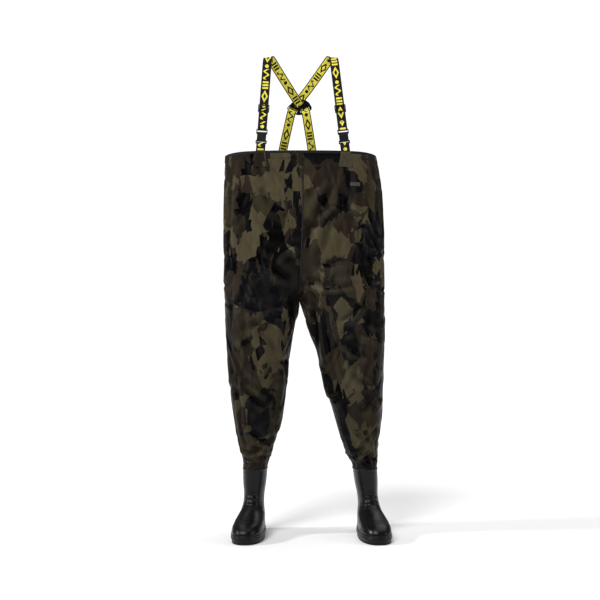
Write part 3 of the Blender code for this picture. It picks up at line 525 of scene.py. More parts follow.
def levels():
    """Heights from the hem to the boot top, each with the crotch's arch there."""
    arch_top = CROTCH_HEIGHT + RISE
    count = round((HEM_HEIGHT - arch_top) / ROW_STEP)
    made = [(z, 0.0) for z in np.linspace(HEM_HEIGHT, arch_top, count + 1)]
    for turned in np.linspace(0, math.pi / 2, 19)[1:]:
        made.append((arch_top - RISE * math.sin(turned), math.sin(turned)))
    count = round((CROTCH_HEIGHT - BOOT_HEIGHT) / ROW_STEP)
    made += [(z, 1.0) for z in np.linspace(CROTCH_HEIGHT, BOOT_HEIGHT, count + 1)[1:]]
    return made


# Folds: face, start X and Z, end X and Z, half width, depth. A fold is a groove with a ridge beside it.
FOLDS = (
    (FRONT, 0.090, 1.245, -0.016, 1.015, 0.009, 0.0075),
    (FRONT, 0.135, 1.200, 0.035, 0.985, 0.010, 0.0060),
    (FRONT, 0.150, 1.300, 0.118, 1.130, 0.012, 0.0045),
    (FRONT, -0.022, 0.903, 0.180, 0.897, 0.008, 0.0070),
    (FRONT, 0.020, 0.960, 0.150, 0.990, 0.012, 0.0050),
    (FRONT, -0.140, 1.335, -0.122, 1.262, 0.007, 0.0050),
    (FRONT, 0.218, 1.332, 0.252, 1.230, 0.008, 0.0060),
    (FRONT, 0.256, 1.300, 0.262, 1.080, 0.009, 0.0045),
    (FRONT, -0.262, 1.250, -0.256, 0.930, 0.008, 0.0050),
    (FRONT, -0.235, 1.190, -0.190, 0.990, 0.014, 0.0035),
    (FRONT, -0.180, 1.250, -0.060, 1.120, 0.016, 0.0035),
    (FRONT, -0.150, 0.990, -0.055, 0.900, 0.014, 0.0040),
    (FRONT, -0.250, 0.840, -0.130, 0.790, 0.012, 0.0035),
    (FRONT, -0.085, 0.800, -0.180, 0.690, 0.014, 0.0035),
    (FRONT, -0.060, 0.640, -0.160, 0.560, 0.012, 0.0040),
    (FRONT, -0.225, 0.560, -0.150, 0.470, 0.011, 0.0040),
    (FRONT, -0.095, 0.470, -0.190, 0.400, 0.010, 0.0040),
    (FRONT, -0.210, 0.400, -0.130, 0.330, 0.009, 0.0045),
    (FRONT, -0.125, 0.350, -0.210, 0.290, 0.008, 0.0045),
    (FRONT, 0.010, 0.850, 0.105, 0.480, 0.008, 0.0060),
    (FRONT, 0.045, 0.800, 0.150, 0.420, 0.010, 0.0055),
    (FRONT, 0.095, 0.760, 0.190, 0.830, 0.009, 0.0055),
    (FRONT, 0.110, 0.700, 0.215, 0.640, 0.009, 0.0055),
    (FRONT, 0.175, 0.745, 0.262, 0.700, 0.010, 0.0045),
    (FRONT, 0.140, 0.590, 0.235, 0.530, 0.010, 0.0050),
    (FRONT, 0.165, 0.460, 0.262, 0.500, 0.009, 0.0045),
    (FRONT, 0.150, 0.390, 0.245, 0.330, 0.009, 0.0050),
    (FRONT, 0.255, 0.400, 0.180, 0.300, 0.008, 0.0050),
    (BACK, -0.230, 1.270, -0.120, 1.060, 0.014, 0.0050),
    (BACK, -0.040, 1.290, -0.150, 1.080, 0.013, 0.0045),
    (BACK, 0.010, 1.290, 0.110, 1.100, 0.013, 0.0050),
    (BACK, 0.230, 1.260, 0.130, 1.020, 0.014, 0.0045),
    (BACK, -0.190, 0.950, -0.050, 0.900, 0.013, 0.0060),
    (BACK, 0.190, 0.945, 0.020, 0.895, 0.013, 0.0060),
    (BACK, -0.210, 0.880, -0.060, 0.830, 0.011, 0.0050),
    (BACK, 0.220, 0.870, 0.050, 0.835, 0.011, 0.0050),
    (BACK, -0.240, 0.640, -0.100, 0.590, 0.011, 0.0055),
    (BACK, -0.080, 0.610, -0.210, 0.560, 0.010, 0.0050),
    (BACK, 0.270, 0.640, 0.110, 0.600, 0.011, 0.0055),
    (BACK, 0.120, 0.570, 0.250, 0.540, 0.010, 0.0050),
    (BACK, -0.190, 0.420, -0.110, 0.360, 0.010, 0.0045),
    (BACK, 0.160, 0.400, 0.250, 0.350, 0.010, 0.0045),
)


def fold_relief(point, face):
    """Depth of the drawn folds at a point, outwards positive."""
    total = 0.0
    for fold_face, x0, z0, x1, z1, width, depth in FOLDS:
        if fold_face != face:
            continue
        dx, dz = x1 - x0, z1 - z0
        length = math.hypot(dx, dz)
        t = ((point.x - x0) * dx + (point.z - z0) * dz) / length**2
        if not -0.05 < t < 1.05:
            continue
        bow = 0.06 * length * math.sin(math.pi * t) + 0.004 * noise.noise(Vector((x0 * 40, t * 5, z0 * 40)))
        s = ((point.x - x0) * dz - (point.z - z0) * dx) / length - bow
        fade = math.sin(math.pi * min(max(t, 0.0), 1.0)) ** 0.6
        width = width * (0.75 + 0.5 * fade)
        if abs(s) > 4 * width:
            continue
        groove = -math.exp(-((s / width) ** 2))
        ridge = 0.75 * math.exp(-(((s - 1.9 * width) / (1.2 * width)) ** 2))
        total += depth * fade * (groove + ridge)
    return total


def ankle_relief(side, face, across, height):
    """Pleats and rolls where the leg is gathered into the boot."""
    above = height - BOOT_HEIGHT
    angle = (2 * across - 1) * math.pi / 2 * side + (0 if face == FRONT else math.pi)
    near = math.exp(-above / 0.030)
    pleats = math.sin(11 * angle + 3 * math.sin(2 * angle + side)) * 0.0030 * near * smooth(above / 0.012)
    wander = 0.012 * math.sin(angle * 2 + side) + 0.006 * math.sin(angle * 5)
    rolls = 0.0
    for centre, depth in ((0.030, 0.0045), (0.058, 0.0035), (0.092, 0.0030), (0.130, 0.0022)):
        s = (above - centre - wander) / 0.009
        rolls += depth * (math.exp(-s * s) - 0.8 * math.exp(-((s + 1.7) ** 2))) * (0.6 + 0.4 * math.sin(3 * angle + centre * 90))
    return pleats + rolls * smooth(above / 0.02)


def crumple(point, face):
    """A web of soft creases, along the lines where smooth noises change sign."""
    total = 0.0
    for k, (scale, rise, lean, depth, width) in enumerate((
        (7.0, 4.0, 0.5, 0.0066, 0.050), (6.0, 8.0, -0.6, 0.0058, 0.045), (13.0, 9.0, 0.2, 0.0032, 0.075),
    )):
        x = point.x + lean * point.z
        place = Vector((x * scale + 7.3 * k, point.y * scale + 2.1 * face, point.z * rise))
        value = noise.noise(place)
        where = smooth(noise.noise(place * 0.45 + Vector((3.1, 1.7, 9.2))) * 1.6 + 0.45)
        groove = math.exp(-((value / width) ** 2))
        shoulder = math.exp(-(((value - 2.0 * width) / (1.3 * width)) ** 2))
        total += depth * where * (0.55 * shoulder - groove)
    return total


def relief(side, face, across, point, arch):
    """How far the fabric stands out from the plain shape."""
    soft = noise.noise(Vector((point.x * 9 + 5 * face, point.y * 9, point.z * 5.5))) * 0.0040
    fine = noise.noise(Vector((point.x * 26, point.y * 26 + 3, point.z * 15))) * 0.0014
    out = soft + fine + 2.1 * fold_relief(point, face) + 1.3 * crumple(point, face)
    out *= smooth((HEM_HEIGHT - 0.02 - point.z) / 0.06) * smooth((point.z - BOOT_HEIGHT) / 0.03)
    if arch == 1.0:
        out += ankle_relief(side, face, across, point.z)
    seam = min(across, 1 - across) * COLUMNS
    out = out * (0.45 + 0.55 * smooth(seam / 3)) - 0.0012 * max(0.0, 1 - seam)
    out = min(out, mix(0.012, 0.003, smooth((across - 0.70) / 0.20)))
    over_band = smooth((BOOT_HEIGHT + BAND_COVER + 0.010 - point.z) / 0.010)
    return mix(out, max(out, -0.0008), over_band)


def build_body_grid():
    """The welded cloth: points, and each panel's grid of indices."""
    points, found, grids = [], {}, {}
    for side in (RIGHT, LEFT):
        for face in (FRONT, BACK):
            grid = []
            for height, arch in levels():
                row = []
                for j in range(COLUMNS + 1):
                    across = j / COLUMNS
                    point = body_point(side, face, across, height, arch)
                    point.z -= HEM_SAG * smooth((across - 0.45) / 0.55) * smooth((height - 1.20) / 0.15)
                    key = tuple(round(c, 5) for c in point)
                    if key not in found:
                        found[key] = len(points)
                        points.append((point + SHIFT, side, face, across, arch))
                    row.append(found[key])
                grid.append(row)
            inner = []
            for j in range(COLUMNS + 1):
                x = points[grid[-1][j]][0]
                middle = boot_matrix(side) @ Vector((boot_lean(side, BOOT_HEIGHT), 0, BOOT_HEIGHT)) + SHIFT
                inward = Vector((middle.x - x.x, middle.y - x.y, 0)).normalized() * (BOOT_WALL + 0.0008)
                point = x + inward - UP * COLLAR_TUCK
                key = tuple(round(c, 5) for c in point)
                if key not in found:
                    found[key] = len(points)
                    points.append((point, side, face, j / COLUMNS, 1.0))
                inner.append(found[key])
            grid.append(inner)
            grids[side, face] = grid
    return points, grids


def grid_quads(grid, flip):
    faces = []
    for upper, lower in zip(grid, grid[1:]):
        for j in range(len(upper) - 1):
            face = (upper[j], lower[j], lower[j + 1], upper[j + 1])
            if len(set(face)) == 4:
                faces.append(face[::-1] if flip else face)
    return faces


CLOTH_FRAMES = 28
CLOTH_REACH = 0.010


def settle(obj, start):
    """Lets the sculpted cloth slacken and settle between its held ends, and limits how far it moves."""
    held = obj.vertex_groups.new(name="held")
    for index, (point, *_rest) in enumerate(start):
        grip = max(smooth((point.z - HEM_HEIGHT + 0.035) / 0.02), smooth((BOOT_HEIGHT + BAND_COVER + 0.010 - point.z) / 0.010))
        if grip:
            held.add([index], grip, "REPLACE")
    slack = obj.vertex_groups.new(name="slack")
    for index, (point, *_rest) in enumerate(start):
        slack.add([index], smooth((1.27 - point.z) / 0.20), "REPLACE")
    cloth = modify(obj, "CLOTH").settings
    cloth.quality = 7
    cloth.mass = 0.25
    cloth.air_damping = 3
    cloth.tension_stiffness = cloth.compression_stiffness = 18
    cloth.shear_stiffness = 6
    cloth.bending_stiffness = 0.6
    cloth.vertex_group_mass = "held"
    cloth.vertex_group_shrink = "slack"
    cloth.shrink_min, cloth.shrink_max = -0.002, -0.034
    cloth.use_pressure = True
    cloth.uniform_pressure_force = 0.35
    cloth.effector_weights.gravity = 0.5
    scene = bpy.context.scene
    for step in range(1, CLOTH_FRAMES + 1):
        scene.frame_set(step)
    settled = obj.evaluated_get(bpy.context.evaluated_depsgraph_get()).to_mesh()
    moved = [v.co.copy() for v in settled.vertices]
    scene.frame_set(1)
    obj.modifiers.clear()
    for vertex, target in zip(obj.data.vertices, moved):
        step = target - vertex.co
        vertex.co += step * (math.tanh(step.length / CLOTH_REACH) * CLOTH_REACH / max(step.length, 1e-9))


def keep_outline(cloth, before, grids):
    """Puts the seams back at the X they were sculpted at, and the cloth between them with them."""
    moved = {}
    for grid in grids.values():
        for row in grid:
            first, last = (before[row[k]].x - cloth.data.vertices[row[k]].co.x for k in (0, -1))
            for j, index in enumerate(row):
                moved[index] = mix(first, last, j / (len(row) - 1))
    for index, step in moved.items():
        cloth.data.vertices[index].co.x += step


def build_fabric():
    """The sculpted and settled cloth as one mesh object, which the panels are then cut from."""
    start, grids = build_body_grid()
    faces = []
    for (side, face), grid in grids.items():
        faces += grid_quads(grid, side * face > 0)
    cloth = mesh_object("cloth", [s[0] for s in start], faces, ())
    normals = [v.normal.copy() for v in cloth.data.vertices]
    for vertex, normal, (point, side, face, across, arch) in zip(cloth.data.vertices, normals, start):
        if point.z > BOOT_HEIGHT + 1e-4:
            vertex.co += normal * relief(side, face, across, point, arch)
    before = [v.co.copy() for v in cloth.data.vertices]
    settle(cloth, start)
    keep_outline(cloth, before, grids)
    cloth.data.update()
    points = [v.co.copy() for v in cloth.data.vertices]
    normals = [v.normal.copy() for v in cloth.data.vertices]
    tree = BVHTree.FromPolygons(points, faces)
    bpy.data.objects.remove(cloth)
    return points, normals, grids, tree


def panel_object(name, grid, flip, points, wear_highlight_and_crease_shade, looks, thickness, offset):
    used = sorted({i for row in grid for i in row})
    place = {old: new for new, old in enumerate(used)}
    faces = [tuple(place[i] for i in face) for face in grid_quads(grid, flip)]
    obj = mesh_object(name, [points[i] for i in used], faces, looks)
    # The attribute holds ridge wear with a painted highlight, and painted shade in the grooves.
    attribute = obj.data.attributes.new("wear_highlight_and_crease_shade", "FLOAT", "POINT")
    attribute.data.foreach_set("value", np.array([wear_highlight_and_crease_shade[i] for i in used], np.float32))
    modify(obj, "SUBSURF", levels=1, render_levels=1)
    modify(obj, "SOLIDIFY", thickness=thickness, offset=offset, material_offset=len(looks) - 1)
    return obj


def wear_highlight_and_crease_shade_values(points, normals, grids):
    """How far each point stands out of the cloth around it: ridges are above 0 and are lightened, as wear and as a
    painted highlight; grooves are below 0 and are darkened, as painted shade.
    """
    sums, counts = [0.0] * len(points), [0] * len(points)
    for grid in grids.values():
        for i in range(1, len(grid) - 1):
            for j in range(1, len(grid[i]) - 1):
                here = grid[i][j]
                around = (grid[i - 1][j], grid[i + 1][j], grid[i][j - 1], grid[i][j + 1])
                middle = sum((points[k] for k in around), Vector()) / 4
                sums[here] += (points[here] - middle).dot(normals[here])
                counts[here] += 1
    raw = [s / max(c, 1) * 520 for s, c in zip(sums, counts)]
    even = list(raw)
    for grid in grids.values():
        for i in range(1, len(grid) - 1):
            for j in range(1, len(grid[i]) - 1):
                near = [raw[grid[i + up][j + over]] for up in (-1, 0, 1) for over in (-1, 0, 1)]
                even[grid[i][j]] = sum(near) / 9
    return [min(max(value, -0.85), 0.60) for value in even]


CAMO_OFFSETS = {(RIGHT, FRONT): (0.0, 0.0, 0.0), (LEFT, FRONT): (0.43, 0.1, 0.27),
                (RIGHT, BACK): (0.91, 0.7, 0.55), (LEFT, BACK): (1.37, 1.3, 0.83)}


def build_panels(points, normals, grids):
    wear_highlight_and_crease_shade = wear_highlight_and_crease_shade_values(points, normals, grids)
    coating = plain_fabric("inner_coating", srgb(44, 45, 42), 0.55, 1400)
    panels = {}
    for (side, face), grid in grids.items():
        name = f"{FACE_NAMES[face]}_{SIDE_NAMES[side]}"
        look = camouflage("camouflage_" + name, CAMO_OFFSETS[side, face])
        obj = panel_object(name + "_fabric", grid, side * face > 0, points, wear_highlight_and_crease_shade, [look, coating], 0.0011, -1)
        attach(obj, "waders")
        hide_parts(name + "_panel")
        panels[side, face] = obj
    return panels, wear_highlight_and_crease_shade


def hem_ring():
    return ((RIGHT, FRONT, False), (RIGHT, BACK, True), (LEFT, BACK, False), (LEFT, FRONT, True))


def build_hem(points, normals, grids, panels):
    """The folded hem: an outer and an inner layer joined over the top edge, with a rolled lower edge."""
    depth = sum(1 for height, _ in levels() if height > HEM_HEIGHT - HEM_BAND - 1e-6)
    columns = []
    for side, face, backwards in hem_ring():
        span = range(COLUMNS, 0, -1) if backwards else range(COLUMNS)
        columns += [(side, face, j) for j in span]
    # The profile: how far out of the cloth, and how many rows down.
    profile = [(0.0003, depth - 1, -0.0007), (0.0017, depth - 1, -0.0002)]
    profile += [(0.0018, i, 0.0) for i in range(depth - 2, 0, -1)]
    profile += [(0.0019, 0, 0.0002), (0.0010, 0, 0.0015), (-0.0008, 0, 0.0018), (-0.0022, 0, 0.0006)]
    profile += [(-0.0024, i, 0.0) for i in range(1, depth)]
    rows = []
    for out, row, lift in profile:
        ring = []
        for side, face, j in columns:
            index = grids[side, face][row][j]
            normal = normals[index].copy()
            normal.z = 0
            ring.append(points[index] + normal.normalized() * out + UP * lift)
        rows.append(ring)
    count = len(columns)
    flat = [p for row in rows for p in row]
    faces = grid_faces(len(rows), count, ring=True, flip=False)
    looks = [panels[side, face].data.materials[0] for side, face, _ in hem_ring()]
    looks.append(plain_fabric("hem_binding", srgb(12, 12, 12), 0.6))
    lip = range(depth - 1, depth + 3)
    hem = mesh_object("top_hem_band", flat, faces, looks)
    for polygon in hem.data.polygons:
        edge = polygon.index // count in lip
        polygon.material_index = 4 if edge else min(polygon.index % count // COLUMNS, 3)
    modify(hem, "SUBSURF", levels=1, render_levels=1)
    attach(hem, "waders")
    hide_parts("top_hem")
    return hem


def seam_strip(name, line, out_width, points, normals, look_welt, node):
    """A seam: a narrow welt outside along the join, and the sealing tape inside. line lists, for each row,
    the indices of the point before the seam, on it, and after it."""
    welt_height, tape_depth = 0.0011, 0.0022
    profile = ((-1.0, -0.0003), (-0.75, 0.7), (0.0, 1.0), (0.75, 0.7), (1.0, -0.0003))
    flat = []
    for before, on, after in line:
        normal = normals[on]
        left = (points[before] - points[on]).normalized()
        right = (points[after] - points[on]).normalized()
        for share, height in profile:
            side_step = (left if share < 0 else right) * abs(share) * out_width
            lift = height * welt_height if height > 0 else -0.0009
            flat.append(points[on] + side_step + normal * lift)
    columns = len(profile)
    rows = len(line)
    faces = grid_faces(rows, columns)
    start = len(flat)
    for before, on, after in line:
        for index, reach in ((before, 0.011), (on, 0.0), (after, 0.011)):
            step = (points[index] - points[on])
            step = step.normalized() * reach if step.length > 1e-9 else Vector()
            flat.append(points[on] + step - normals[on] * tape_depth)
    faces += [tuple(start + i for i in face) for face in grid_faces(rows, 3, flip=True)]
    obj = mesh_object(name, flat, faces, [look_welt])
    bm = bmesh.new()
    bm.from_mesh(obj.data)
    bmesh.ops.recalc_face_normals(bm, faces=bm.faces)
    bm.to_mesh(obj.data)
    bm.free()
    modify(obj, "SOLIDIFY", thickness=0.0005, offset=0)
    modify(obj, "SUBSURF", levels=1, render_levels=1)
    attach(obj, "waders")
    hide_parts(node)
    return obj


def build_seams(points, normals, grids):
    look = plain_fabric("seam_welt", srgb(30, 28, 25), 0.55)
    depth = sum(1 for height, _ in levels() if height > HEM_HEIGHT - HEM_BAND + 1e-6)
    torso_end = sum(1 for _, arch in levels() if arch < 1.0)
    made = []
    for face in (FRONT, BACK):
        right, left = grids[RIGHT, face], grids[LEFT, face]
        line = [(right[i][1], right[i][0], left[i][1]) for i in range(depth, torso_end)]
        name = f"{FACE_NAMES[face]}_centre_seam"
        made.append(seam_strip(name, line, 0.0021, points, normals, look, name + "_tape"))
    for side in (RIGHT, LEFT):
        front, back = grids[side, FRONT], grids[side, BACK]
        last = len(front) - 1
        line = [(front[i][-2], front[i][-1], back[i][-2]) for i in range(depth, last)]
        name = SIDE_NAMES[side] + "_side_seam"
        made.append(seam_strip(name, line, 0.0024, points, normals, look, name + "_tape"))
        line = [(front[i][1], front[i][0], back[i][1]) for i in range(torso_end + 1, last)]
        name = SIDE_NAMES[side] + "_inner_leg_seam"
        made.append(seam_strip(name, line, 0.0021, points, normals, look, name + "_tape"))
    return made


def settled_y(tree, x, z, face):
    """Y of the settled cloth at an X and height, in the row frame."""
    hit = tree.ray_cast(Vector((x, face * 2, z)), Vector((0, -face, 0)))[0]
    return hit.y if hit else torso_y(x - SHIFT.x, z, face) + SHIFT.y


def build_patch(name, tree, middle_x, top, widths, height, face, look, lift, thickness, node, corner=0.0):
    """A patch laid over the settled cloth, with a sewn rim that stands up a little."""
    columns, lines = 22, 24
    flat = []
    for i in range(lines + 1):
        z = top - height * i / lines
        width = mix(widths[0], widths[1], i / lines)
        edge = min(i, lines - i) / lines * height
        if corner and edge < corner:
            width -= 2 * (corner - math.sqrt(max(0.0, corner**2 - (corner - edge) ** 2)))
        for j in range(columns + 1):
            share = j / columns
            x = middle_x + width * (share - 0.5)
            inset = min(edge, min(share, 1 - share) * width)
            rim = 0.0004 * smooth(inset / 0.0012) - 0.0005 * math.exp(-(((inset - 0.0028) / 0.0006) ** 2))
            hem = 0.0020 * smooth((z - (HEM_HEIGHT - HEM_BAND) + 0.003) / 0.006)
            flat.append(Vector((x, settled_y(tree, x, z, face) + face * (lift + hem + rim), z)))
    faces = grid_faces(lines + 1, columns + 1, flip=face > 0)
    obj = mesh_object(name, flat, faces, [look])
    modify(obj, "SOLIDIFY", thickness=thickness, offset=1 if face == FRONT else 1)
    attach(obj, "waders")
    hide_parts(node)
    return obj


def build_patches(tree):
    fabric = plain_fabric("anchor_patch_fabric", srgb(70, 64, 46), 0.6)
    dark = camouflage("anchor_patch_camouflage", (0.02, 0.0, 0.01), 0.9)
    made = []
    for side in (RIGHT, LEFT):
        front_x = (FRONT_LEFT_X if side == LEFT else FRONT_RIGHT_X) + SHIFT.x
        back_x = (BACK_HEM_LEFT_X if side == LEFT else BACK_HEM_RIGHT_X) + SHIFT.x
        for face, x in ((FRONT, front_x), (BACK, back_x)):
            node = f"{SIDE_NAMES[side]}_{FACE_NAMES[face]}_anchor_patch"
            look = fabric if side == LEFT and face == FRONT else dark
            made.append(build_patch(
                node[:-6] + "_panel", tree, x, HEM_HEIGHT - 0.002, (0.034, 0.048), 0.052, face, look,
                0.0006, 0.0009, node,
            ))
    badge = rubber("badge_rubber", srgb(62, 62, 62), 0.5)
    made.append(build_patch(
        "chest_badge_blank", tree, BADGE_X + SHIFT.x, BADGE_Z + BADGE_HEIGHT / 2, (BADGE_WIDTH, BADGE_WIDTH),
        BADGE_HEIGHT, FRONT, badge, 0.0006, 0.0016, "chest_badge", 0.0022,
    ))
    return made


# ---------------------------------------------------------------- boots
BOOT_COLUMNS = 96
CAP_LINE, RAND_LINE = 0.066, 0.0400


def boot_value(height, column):
    stations = [(s[0], s[column]) for s in BOOT][::-1]
    return between(stations, height, 1)


def boot_heights():
    """Heights spaced evenly along the toe's profile."""
    dense = np.linspace(BOOT_HEIGHT, BOOT[-1][0], 600)
    front = np.array([boot_value(z, 1) for z in dense])
    walked = np.concatenate([[0], np.cumsum(np.hypot(np.diff(dense), np.diff(front)))])
    count = round(walked[-1] / 0.0034)
    return [float(z) for z in np.interp(np.linspace(0, walked[-1], count + 1), walked, dense)]


def boot_relief(angle, height):
    """The upper's moulded detail: collar beads, ankle creases, ribs, toe cap, heel counter and rand."""
    turned = angle if angle < math.pi else angle - 2 * math.pi
    below = BOOT_HEIGHT - height
    out = 0.0022 * math.exp(-(((below - 0.003) / 0.0032) ** 2)) + 0.0011 * math.exp(-(((below - 0.016) / 0.0022) ** 2))
    front = math.exp(-((turned / 0.95) ** 2))
    for centre, depth in ((0.107, 0.0022), (0.121, 0.0018), (0.138, 0.0013)):
        s = (height - centre - 0.006 * math.cos(2 * turned) + 0.002 * math.sin(5 * turned)) / 0.0042
        out += depth * front * (0.6 * math.exp(-((s - 1.5) ** 2)) - math.exp(-s * s))
    heel = abs(abs(turned) - math.pi)
    for centre, depth in ((0.100, 0.0010), (0.118, 0.0010)):
        s = (height - centre) / 0.005
        out += depth * math.exp(-((heel / 0.9) ** 2)) * (0.5 * math.exp(-((s - 1.5) ** 2)) - math.exp(-s * s))
    for rib in (1.25, 1.75):
        s = (abs(turned) - rib) / 0.045
        out += 0.0009 * math.exp(-s * s) * smooth((height - 0.085) / 0.02) * smooth((0.215 - height) / 0.01)
    cap = CAP_LINE - 0.022 * (turned / 1.25) ** 2
    out += 0.0016 * smooth((cap - height) / 0.0018) * smooth((1.3 - abs(turned)) / 0.1)
    out += 0.0008 * math.exp(-(((height - cap - 0.0022) / 0.0011) ** 2)) * smooth((1.3 - abs(turned)) / 0.1)
    counter = 0.088 - 0.036 * (heel / 1.2) ** 2
    out += 0.0014 * smooth((counter - height) / 0.003) * smooth((1.25 - heel) / 0.1)
    out += 0.0010 * smooth((RAND_LINE - height) / 0.0014)
    out -= 0.0010 * math.exp(-(((height - 0.0335) / 0.0009) ** 2))
    return out


def build_boot(side, look, sole_look):
    place = Matrix.Translation(SHIFT) @ boot_matrix(side)
    heights = boot_heights()
    angles = [math.tau * j / BOOT_COLUMNS for j in range(BOOT_COLUMNS)]
    rows = []
    for height in heights:
        front, back, half, wider = (boot_value(height, k) for k in (1, 2, 3, 4))
        middle, reach = (front + back) / 2, (back - front) / 2
        ring = []
        for angle in angles:
            x = half * power(math.sin(angle), 0.86) * (1 + wider * math.cos(angle))
            ring.append(Vector((x + boot_lean(side, height), middle - reach * math.cos(angle), height)))
        rows.append(ring)
    count = len(angles)
    flat = [p for row in rows for p in row]
    faces = grid_faces(len(rows), count, ring=True)
    shell = mesh_object(f"{SIDE_NAMES[side]}_boot_shell", flat, faces, [look])
    normals = [v.normal.copy() for v in shell.data.vertices]
    outward = 1 if normals[count // 4].x > 0 else -1
    for vertex, normal, index in zip(shell.data.vertices, normals, range(len(normals))):
        vertex.co += normal * outward * boot_relief(angles[index % count], heights[index // count])
    bm = bmesh.new()
    bm.from_mesh(shell.data)
    bmesh.ops.holes_fill(bm, edges=[e for e in bm.edges if e.is_boundary and e.verts[0].co.z < 0.05])
    bmesh.ops.recalc_face_normals(bm, faces=bm.faces)
    bm.to_mesh(shell.data)
    bm.free()
    shell.data.transform(place)
    modify(shell, "SOLIDIFY", thickness=0.0028, offset=-1)
    modify(shell, "SUBSURF", levels=1, render_levels=1)
    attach(shell, "waders")
    start = SIDE_NAMES[side] + "_boot_"
    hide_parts(start + "upper", start + "rand", start + "toe_cap", start + "heel_counter")
    sole = NODES[start + "outsole"]
    dress(sole, sole_look)
    modify(sole, "BEVEL", width=0.0012, segments=3, limit_method="ANGLE", angle_limit=0.6)
    return shell


def build_foxing(side, look):
    """The rounded, ribbed strip round the joint of the upper and the sole."""
    profile = (
        (0.0012, 0.0292), (0.0026, 0.0290), (0.0037, 0.0276), (0.0038, 0.0232), (0.0030, 0.0221), (0.0030, 0.0214),
        (0.0038, 0.0203), (0.0038, 0.0148), (0.0030, 0.0130), (0.0019, 0.0127),
    )
    place = Matrix.Translation(SHIFT) @ boot_matrix(side)
    angles = [math.tau * j / 360 for j in range(360)]
    rows = []
    for grow, height in profile:
        ribbed = 0.0005 if 0.0148 <= height <= 0.0203 else 0.0
        ring = boot_ring(side, BOOT[-1][0], grow, angles)
        wider = boot_ring(side, BOOT[-1][0], grow + ribbed, angles)
        rows.append([
            Vector((*(w if j % 4 < 2 else p).xy, height)) for j, (p, w) in enumerate(zip(ring, wider))
        ])
    flat = [place @ p for row in rows for p in row]
    obj = mesh_object(f"{SIDE_NAMES[side]}_boot_foxing", flat, grid_faces(len(rows), 360, ring=True), [look])
    modify(obj, "SOLIDIFY", thickness=0.0012, offset=0)
    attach(obj, "waders")


def dress(obj, look):
    for index in range(max(1, len(obj.material_slots))):
        if index < len(obj.material_slots):
            obj.material_slots[index].material = look
        else:
            obj.data.materials.append(look)


# ---------------------------------------------------------------- braces
def above_hem(point):
    return Vector(point) + UP * HEM_HEIGHT


def inside_hem(x, face):
    ys = [abs(torso_y(x + e, HEM_HEIGHT, face)) for e in (-WEBBING / 2, WEBBING / 2)]
    return face * (min(ys) - HEM_THICKNESS - HEM_TUCK - WEBBING_THICKNESS / 2)


def front_line(side):
    """The front strap's frame at the hem: X across, Y to the back, Z along it; and its length."""
    x = FRONT_LEFT_X if side == LEFT else FRONT_RIGHT_X
    start = Vector((x, inside_hem(x, FRONT), HEM_HEIGHT))
    end = above_hem(SHOULDER_LEFT if side == LEFT else SHOULDER_RIGHT)
    along = (end - start).normalized()
    across = (Vector((1, 0, 0)) - along.x * along).normalized()
    matrix = Matrix((across, along.cross(across), along)).transposed().to_4x4()
    matrix.translation = start + SHIFT
    return matrix, (end - start).length


WRAP = BAR_RADIUS + CLEARANCE + WEBBING_THICKNESS / 2
BAR_Y = WRAP
PLUG_START = SOCKET_ABOVE_HEM + SOCKET_LENGTH + CLEARANCE
PLUG_BAR_Z = PLUG_START + PLUG_LENGTH - BAR_RADIUS - 0.0016
SOCKET_BAR_Z = SOCKET_ABOVE_HEM + BAR_RADIUS + 0.0012
ADJUSTER_BAR_Y = WEBBING_THICKNESS * 1.5 + 2 * CLEARANCE + BAR_RADIUS
LOOP_TOP = PLUG_START + PLUG_BASE + PLUG_TRAVEL + 0.004


def turn(middle_y, middle_z, radius, first, last, steps=14):
    angles = np.linspace(first, last, steps + 1)
    return [(middle_y + radius * math.cos(a), middle_z + radius * math.sin(a)) for a in angles]


def curve_through(points, step):
    """A smooth line through points (Catmull-Rom), with points about a step apart."""
    made = []
    for i in range(len(points) - 1):
        a, b, c, d = (points[min(max(i + k, 0), len(points) - 1)] for k in (-1, 0, 1, 2))
        count = max(1, round((c - b).length / step))
        for t in (k / count for k in range(count)):
            ta, tb = (c - a) * 0.5, (d - b) * 0.5
            if (c - b).length < 0.02 or i in (0, len(points) - 2):
                ta, tb = ta * 0.8, tb * 0.8
            made.append(
                b * (1 + 2 * t) * (1 - t) ** 2 + ta * t * (1 - t) ** 2 + c * t * t * (3 - 2 * t) + tb * t * t * (t - 1)
            )
    made.append(points[-1].copy())
    return made


PROFILE = (
    (-0.5, 0.25), (-0.475, 0.5), (-0.25, 0.5), (0.0, 0.5), (0.25, 0.5), (0.475, 0.5), (0.5, 0.25),
    (0.5, -0.25), (0.475, -0.5), (0.25, -0.5), (0.0, -0.5), (-0.25, -0.5), (-0.475, -0.5), (-0.5, -0.25),
)


